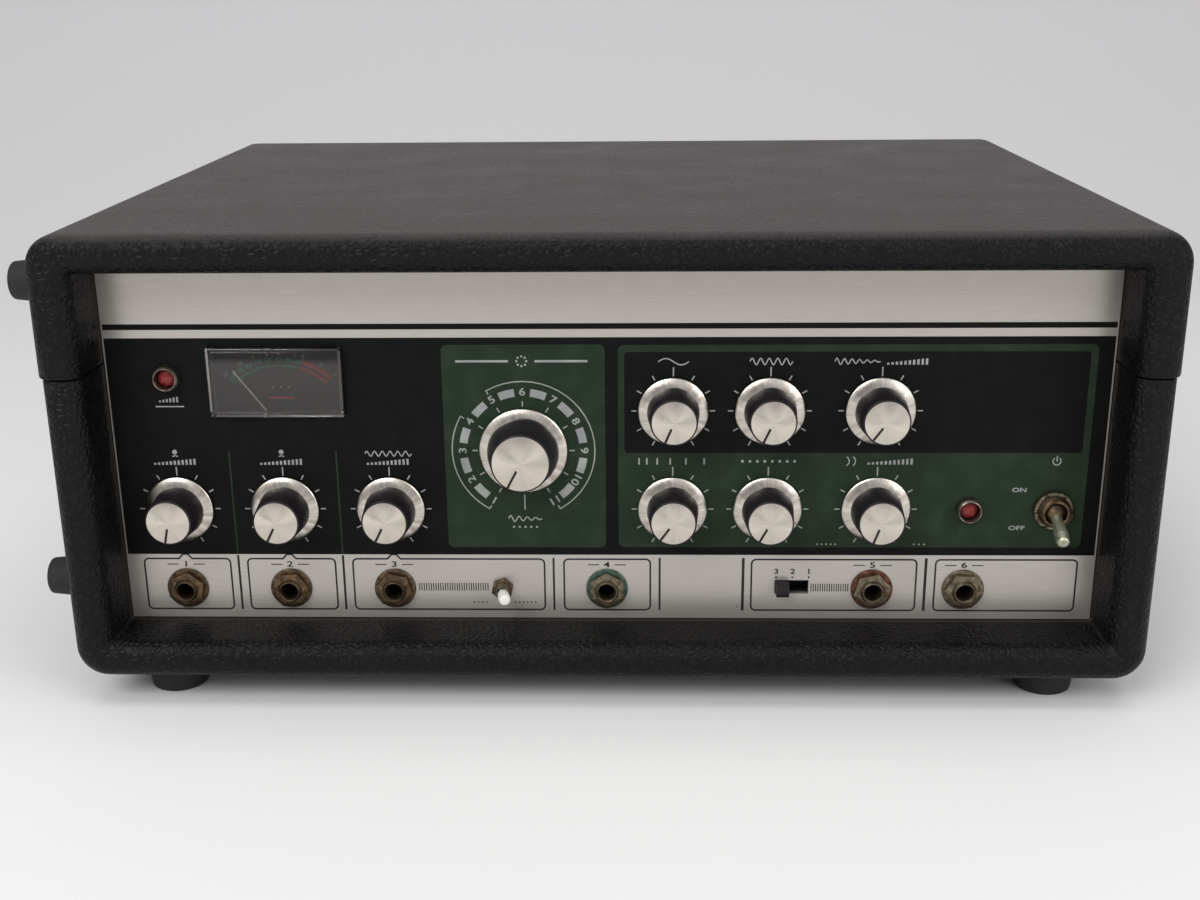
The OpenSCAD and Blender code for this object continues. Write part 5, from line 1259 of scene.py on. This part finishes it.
# Cover: smoked acrylic with eased edges. Years of wiping have scuffed its top, so that it
# shines in a soft patch and no longer mirrors.
surface = {"IOR": 1.49, "Transmission Weight": 1, "Specular IOR Level": 0.18}
smoked_acrylic, shader, where = material("smoked_acrylic", surface)
cloud = add(where, "TexNoise", {"Vector": where, "Scale": 0.5 / SCUFF, "Detail": 4})
scratch = add(where, "TexNoise", {"Vector": where, "Scale": 1 / ACRYLIC_SCRATCH, "Detail": 9})
both = add(where, "Math", (scratch, cloud), operation="MULTIPLY")
tint = add(where, "Mix", {0: cloud, 6: "#5c5d5f", 7: "#666767"}, data_type="RGBA")
skin(shader, tint, add(where, "MapRange", (both, 0.1, 0.4, 0.24, 0.33)))

cover_low, cover_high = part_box("tank_cover")
sheet = shape("tank_cover_sheet", [block(cover_low, cover_high)], [smoked_acrylic])
riding(flat_faced(bevelled(sheet, 0.5 * MM)), "cabinet", "clear_acrylic", "tank_cover")
screw_low, screw_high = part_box("tank_screws")
crests = [THUMB_RADIUS, THUMB_RADIUS - KNURL_DEEP] * KNURLS
knurl = [(x * radius, y * radius) for radius, (x, y) in zip(crests, disc(0, 0, 1, 2 * KNURLS))]
levels = [(scaled(knurl, 0.93), 0), (knurl, 0.4), (knurl, THUMB_HIGH - 0.3)]
levels.append((scaled(knurl, 0.88), THUMB_HIGH + 0.4))
screw = [stacked(levels), turned([(0, -11), (1.5, -11), (1.5, 0.1), (0, 0.1)], 0, 20)]
screw.append(spun([(3.2, 4.9), (3.2, 5.2, 0.2), (0, 5.2)], 0, 40))
reach = THUMB_RADIUS * MM
parts = []
for x in (screw_low.x + reach, screw_high.x - reach):
    for y in (screw_low.y + reach, screw_high.y - reach):
        parts += placed(screw, upright(x, y, cover_high.z))
riding(shape("tank_thumbscrews", parts, [bare_nickel], 25), "cabinet", "nickel", "tank_screws")

# Pan head screws that hold the plate down
deck_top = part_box("deck_plate")[1].z
screw = [spun([(0, 1.7), (2.2, 1.6, 0.8), (3.1, 0.4, 0.5), (3.1, 0), (0, 0)], 0, 32)]
screw += [block((-x, -y, 1.2), (x, y, 1.76), 1) for x, y in ((1.9, 0.3), (0.3, 1.9))]
parts = []
for x, y in DECK_SCREWS:
    parts += placed(screw, upright(x * MM, y * MM, deck_top) @ Matrix.Rotation(0.1 * x, 4, "Z"))
riding(shape("deck_screws", parts, [zinc_plate, black_paint]), "cabinet", "chassis_steel")

# Magnetic tape: dark brown oxide with a silky shine along its length.
oxide_tape = clouded(
    "brown_oxide_tape", {"IOR": 1.6, "Roughness": 0.32}, (2 / PAINT_GRAIN, 2), ("#2a1a12", "#412a1e"),
    stretch=(0.05, 0.05, 1),
)
dress(oxide_tape, "tape_loop")


def wire(points, radius, number=0):
    """A thin insulated wire along a smooth path."""
    curve = bpy.data.curves.new("wire", "CURVE")
    curve.dimensions = "3D"
    curve.bevel_depth = radius
    curve.bevel_resolution = 2
    curve.use_fill_caps = True
    curve.resolution_u = 6
    spline = curve.splines.new("BEZIER")
    spline.bezier_points.add(len(points) - 1)
    for knot, point in zip(spline.bezier_points, points):
        knot.co = point
        knot.handle_left_type = knot.handle_right_type = "AUTO"
    holder = bpy.data.objects.new("holder", curve)
    mesh = welded(bpy.data.meshes.new_from_object(holder), 0.1 * radius)
    part = [v.co.copy() for v in mesh.vertices], [list(p.vertices) for p in mesh.polygons], number
    bpy.data.meshes.remove(mesh)
    bpy.data.objects.remove(holder)
    bpy.data.curves.remove(curve)
    return part


def plastic(name, base, marked, roughness=0.4):
    """Coloured plastic or lacquer: nearly even, with faint clouds where it is handled."""
    return clouded(name, {"Roughness": roughness, "IOR": 1.5}, (1 / TARNISH, 5), (base, marked))


# Heads: drawn cans of soft nickel iron, each with a curved face, a resin gap and solder pins
head_can = aged_plate("nickel_iron_can", "#b9b5ab", "#a19c91", 0.26)
red_lead = plastic("red_wire_insulation", "#7a241f", "#96342c")
pale_lead = plastic("pale_wire_insulation", "#b5b1a6", "#cfcbc0")
head_low, head_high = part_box("tape_heads")
head_pitch = (head_high.x - head_low.x - HEAD_WIDE * MM) / (HEADS - 1)
deep = (head_high.y - head_low.y) / MM
bulge = (NOSE_HALF ** 2 + HEAD_NOSE ** 2) / (2 * HEAD_NOSE)
swing = math.degrees(math.asin(NOSE_HALF / bulge))
half = HEAD_WIDE / 2
can = softened([(-half, -deep, 1.4), (half, -deep, 1.4), (half, -HEAD_NOSE, 0.8)])[:-1]
can += [(half, -HEAD_NOSE)] + arc(bulge, swing, -swing, 0, -bulge, 12) + [(-half, -HEAD_NOSE)]
pin = turned([(0, 0), (0.45, 0), (0.45, 1.6), (0.9, 1.8), (0.7, 2.6), (0, 2.8)], 0, 16)
fittings = [block((-0.8, -0.6, 2.5), (0.8, 0.02, 11.5), 1), block((-4.2, -1.9, 3.5), (-3.2, -0.9, 10.5), 1)]
for x in (-2.5, 2.5):
    fittings += [moved(pin, Matrix.Translation((x, -deep + 0.2, z)) @ rolled(90, "X")) for z in (4.5, 9.5)]
for x, number in ((-2.5, 2), (2.5, 3)):
    path = [(x, -deep - 1.8, 4.5), (x * 1.1, -deep - 4.5, 3.0), (x * 0.8, -deep - 5.2, 0.4)]
    fittings.append(wire(path + [(x * 0.2, -deep - 8, -0.9), (x * 0.1, -deep - 11, -0.9)], 0.5, number))
finishes = [bare_nickel, black_plastic, red_lead, pale_lead]
for i in range(HEADS):
    at = upright(head_low.x + half * MM + i * head_pitch, head_high.y, head_low.z)
    body = shape("head_can_%d" % (i + 1), [moved(prism(can, 0, HEAD_TALL), at)], [head_can])
    riding(flat_faced(bevelled(body, 0.45 * MM, 3, 60)), "cabinet", "head_steel", "tape_heads")
    riding(shape("head_fittings_%d" % (i + 1), placed(fittings, at), finishes), "cabinet", "head_steel")
dress(bare_nickel, "guide_posts", "capstan")

# Pressed wool felt: cream, with loose fibres and a soft edge to its shading.
wool_felt = clouded(
    "wool_felt", {"Roughness": 0.95, "Sheen Weight": 0.3}, (2 / PAINT_GRAIN, 6), ("#a89e88", "#d9d0bc"),
    relief=(0.0003, 0.7),
)
dress(wool_felt, "felt_pads")

# ---- Drive: capstan, motor, belt, pinch roller and solenoid ----
# The capstan's flywheel hangs under the plate and a belt drives it from the motor's pulley.

ROLLER, ROLLER_PIN, ROLLER_HUB = 12.0, 2.05, 4.7
COIL_RADIUS, COIL_FLANGE, COIL_HEIGHT, PLUNGER_RADIUS = 6.0, 7, 11.2, 2.0
BRACKET, BRACKET_FRONT = 1.8, 1.2

# Sintered bronze that holds oil: brown gold, dull and finely pitted.
oiled_bronze = clouded(
    "oiled_bronze", {"Metallic": 1}, (1.5 / PAINT_GRAIN, 5), ("#7d5a30", "#b08a50"), dull=(0, 1, 0.25, 0.5)
)
dress(oiled_bronze, "capstan_bearing", "motor_pulley")
dress(moulded_rubber, "drive_belt")
dress(zinc_plate, "pinch_arm")

# Pinch roller: a rubber tyre on a brass hub, held on its pin by a clip
roller_low, roller_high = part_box("pinch_roller")
tall = (roller_high.z - roller_low.z) / MM
tyre = [(ROLLER_HUB - 0.1, 0.2), (ROLLER, 0, 0.7), (ROLLER, tall, 0.7), (ROLLER_HUB - 0.1, tall - 0.2)]
hub = [(ROLLER_PIN, 0), (ROLLER_HUB, 0), (ROLLER_HUB, tall - 0.1, 0.3), (3.4, tall, 0.2), (ROLLER_PIN, tall)]
at = upright((roller_low.x + roller_high.x) / 2, (roller_low.y + roller_high.y) / 2, roller_low.z)
parts = placed([spun(tyre, 0, 72, True), spun(hub, 1, 48, True)], at)
roller = shape("pinch_roller_tyre", parts, [moulded_rubber, oiled_bronze])
riding(roller, "pinch_roller", "roller_rubber", "pinch_roller")

# Solenoid: a steel bracket round a coil that is wound with varnished yellow tape
coil_tape = plastic("varnished_coil_tape", "#a98328", "#c9a443", 0.3)
low, high = (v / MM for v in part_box("solenoid"))
front = low.y + BRACKET_FRONT
inner_front, inner_rear = front + BRACKET, high.y - BRACKET
parts = [block((low.x, front, low.z), (high.x, inner_front, high.z)), block((low.x, inner_rear, low.z), high)]
parts.append(block((low.x, inner_front, low.z), (high.x, inner_rear, low.z + BRACKET)))
bracket = shape("solenoid_bracket", placed(parts, IN_MM), [zinc_plate])
riding(flat_faced(bevelled(bracket, 0.3 * MM)), "cabinet", "switch_metal", "solenoid")
along = IN_MM @ Matrix.Translation((low.x + COIL_FLANGE, front, low.z + COIL_HEIGHT)) @ rolled(-90, "X")
long = high.y - front
flanges = [(0, 2.0), (COIL_FLANGE, 2.0), (COIL_FLANGE, 3.2), (COIL_RADIUS, 3.2), (COIL_RADIUS, long - 3.4)]
flanges += [(COIL_FLANGE, long - 3.4), (COIL_FLANGE, long - 2.2), (0, long - 2.2)]
plunger = [(0, low.y - front), (PLUNGER_RADIUS, low.y - front), (PLUNGER_RADIUS, 2), (0, 2)]
parts = placed([spun(flanges, 0, 48), turned(plunger, 1, 24)], along)
lugs = [block((13.5, y, 2), (14.1, y + 2, 7), 1) for y in (10, 16)]
parts += placed(lugs, IN_MM @ Matrix.Translation((low.x, front, low.z)))
riding(shape("solenoid_coil", parts, [coil_tape, bare_nickel]), "cabinet", "switch_metal")

# ---- Electronics ----
# Two phenolic circuit boards with rows of capacitors, a mains transformer and a spring reverb.

BOARD_LIFT, BOARD_THICK, PILLAR_INSET, ROW_INSET = 8.0, 1.6, 5, 12
BOARDS = (("left", 140, 92, 7), ("right", 78, 80, 4))
LARGE_TIN, SMALL_TIN = (4.4, 15.8), (3.2, 11.8)
RESISTOR_ROWS, RESISTOR_SHIFT, RESISTOR_RISE = 4, 8.2, 1.5
LAMINATIONS, CORE_INSET, CORE_DEEP = 11, 8, 24

# Paper phenolic board: tan, with the faint weave of its paper and a varnished skin.
phenolic_board = clouded(
    "phenolic_board", {"Roughness": 0.4, "IOR": 1.55}, (1 / PAINT_GRAIN, 6), ("#6b4a22", "#93692f")
)
blue_sleeve = plastic("blue_capacitor_sleeve", "#1d3350", "#2b4668", 0.25)
orange_dip = plastic("orange_dipped_capacitor", "#9c4a1c", "#b8602c", 0.3)
buff_resistor = plastic("buff_resistor_body", "#9b7d56", "#b3966c", 0.45)


def capacitor(radius, high):
    """A sleeved electrolytic capacitor, with its rolled rim."""
    tin = [(0, high), (radius - 1.2, high, 0.2), (radius - 1, high - 0.4), (radius, high - 0.3, 0.4)]
    return spun(tin + [(radius, 0.5, 0.4), (radius - 0.5, 0), (0, 0)], 1, 32)


# Boards: tan sheet on pillars, sleeved capacitors, film blocks and rows of resistors
boards_low, boards_high = (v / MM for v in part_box("circuit_boards"))
top = BOARD_LIFT + BOARD_THICK
pillar = turned([(0, 0), (3, 0), (3, BOARD_LIFT), (0, BOARD_LIFT)], 4, 6)
resistor = [(0, -3.2), (1.1, -3), (1.2, -2), (0.95, -1.6), (0.95, 1.6), (1.2, 2), (1.1, 3), (0, 3.2)]
resistor = [turned(resistor, 3, 12), turned([(0, -4.6), (0.3, -4.6), (0.3, 4.6), (0, 4.6)], 4, 8)]
finishes = [phenolic_board, blue_sleeve, orange_dip, buff_resistor, zinc_plate]
for name, wide, deep, columns in BOARDS:
    parts = [block((0, 0, BOARD_LIFT), (wide, deep, top))]
    for x in (PILLAR_INSET, wide - PILLAR_INSET):
        parts += [moved(pillar, Matrix.Translation((x, y, 0))) for y in (PILLAR_INSET, deep - PILLAR_INSET)]
    for k in range(columns):
        x, middle = (k + 1) * wide / (columns + 1), deep / 2
        for y, tin in ((deep / 4 + 2, LARGE_TIN), (deep * 3 / 4 - 2, SMALL_TIN)):
            parts.append(moved(capacitor(*tin), Matrix.Translation((x, y, top))))
        parts.append(block((x - 2.8, middle - 1.9, top), (x + 2.8, middle + 1.9, top + 4.8), 2))
        for row in range(RESISTOR_ROWS):
            y = ROW_INSET + row * (deep - 2 * ROW_INSET) / (RESISTOR_ROWS - 1)
            place = Matrix.Translation((x + RESISTOR_SHIFT, y, top + RESISTOR_RISE))
            parts += placed(resistor, place @ rolled(90, "X"))
    x0 = boards_low.x if name == "left" else boards_high.x - wide
    at = IN_MM @ Matrix.Translation((x0, boards_low.y, boards_low.z))
    board = shape(name + "_board_with_parts", placed(parts, at), finishes, 30)
    riding(board, "cabinet", "board", "circuit_boards")

# Mains transformer: a stack of varnished plates with a taped winding through it
low, high = (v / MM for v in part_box("transformer"))
x0, y0, x1, y1 = low.x + CORE_INSET, low.y + CORE_INSET, high.x - CORE_INSET, high.y - CORE_INSET
parts = [block((x0, y0, low.z), (x1, y1, high.z - 0.2))]
parts.append(block((low.x, y0, low.z), (high.x, y1, low.z + 2), 1))
for k in range(LAMINATIONS):
    y = y0 + (k + 0.7) * CORE_DEEP / (LAMINATIONS + 0.5)
    parts.append(block((x0 - 0.15, y, low.z + 2.2), (x1 + 0.15, y + 0.9, high.z)))
parts.append(block((x0 + 14, low.y + 0.4, low.z + 12), (x1 - 14, high.y - 0.4, high.z - 10), 2))
winding = shape("mains_transformer", placed(parts, IN_MM), [black_paint, zinc_plate, coil_tape])
riding(flat_faced(bevelled(winding, 0.25 * MM, 1)), "cabinet", "switch_metal", "transformer")
dress(zinc_plate, "reverb_tank")

# ---- Lights and stage ----
# A pale sweep under soft studio light: a large lamp in front and left, fills and a world.

SWEEP_RADIUS, SWEEP_START, SWEEP_STEPS = 0.9, 0.6, 16
SWEEP_FRONT, SWEEP_TOP, SWEEP_HALF = -4, 4, 5

pale_paper, shader, where = material("pale_paper", {"Roughness": 0.9})
fibre = add(where, "TexNoise", {"Scale": 40, "Detail": 4})
place = add(where, "NewGeometry").outputs["Position"]
# Painted shade: the paper is coloured greyer towards the rear
rear_shade = add(where, "SeparateXYZ", {"Vector": place}).outputs[1]
rear_shade = add(where, "MapRange", (rear_shade, 0.1, 1.5))
tone = add(where, "Mix", {0: fibre, 6: "#e8e7e6", 7: "#ecebea"}, data_type="RGBA")
skin(shader, add(where, "Mix", {0: rear_shade, 6: tone, 7: "#d3d1d3"}, data_type="RGBA"))

line = [(SWEEP_FRONT, 0), (SWEEP_START, 0)]
for i in range(1, SWEEP_STEPS + 1):
    a = math.pi / 2 * i / SWEEP_STEPS
    line.append((SWEEP_START + SWEEP_RADIUS * math.sin(a), SWEEP_RADIUS * (1 - math.cos(a))))
line.append((SWEEP_START + SWEEP_RADIUS, SWEEP_TOP))
n = len(line)
sweep = bpy.data.meshes.new("paper_sweep")
vertices = [(x, y, z) for x in (-SWEEP_HALF, SWEEP_HALF) for y, z in line]
sweep.from_pydata(vertices, [], [[i, i + 1, n + i + 1, n + i] for i in range(n - 1)])
sweep.materials.append(pale_paper)
sweep.shade_smooth()
paper = bpy.data.objects.new("paper_sweep", sweep)
bpy.context.scene.collection.objects.link(paper)
paper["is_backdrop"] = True


def lamp(name, place, target, width, height, watts):
    """A soft box that looks at a point."""
    light = bpy.data.lights.new(name, "AREA")
    light.shape = "RECTANGLE"
    light.size, light.size_y, light.energy = width, height, watts
    made = bpy.data.objects.new(name, light)
    made.location = place
    made.rotation_mode = "QUATERNION"
    made.rotation_quaternion = (Vector(target) - Vector(place)).to_track_quat("-Z", "Y")
    bpy.context.scene.collection.objects.link(made)


lamp("key", (-0.9, -1.5, 1.4), (0, 0, 0.08), 1.2, 0.9, 22)
lamp("fill", (1.3, -1.2, 0.8), (0, 0, 0.08), 1.0, 1.0, 9)
lamp("overhead", (0, -0.3, 1.9), (0, -0.3, 0), 1.8, 1.2, 13)

world = bpy.data.worlds.new("studio")
bpy.context.scene.world = world
world.use_nodes = True
plug(world.node_tree.nodes["Background"], {"Color": colour("#dcdcde"), "Strength": 0.55})

# ---- Sizes ----
bpy.context.view_layer.update()
low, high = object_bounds()
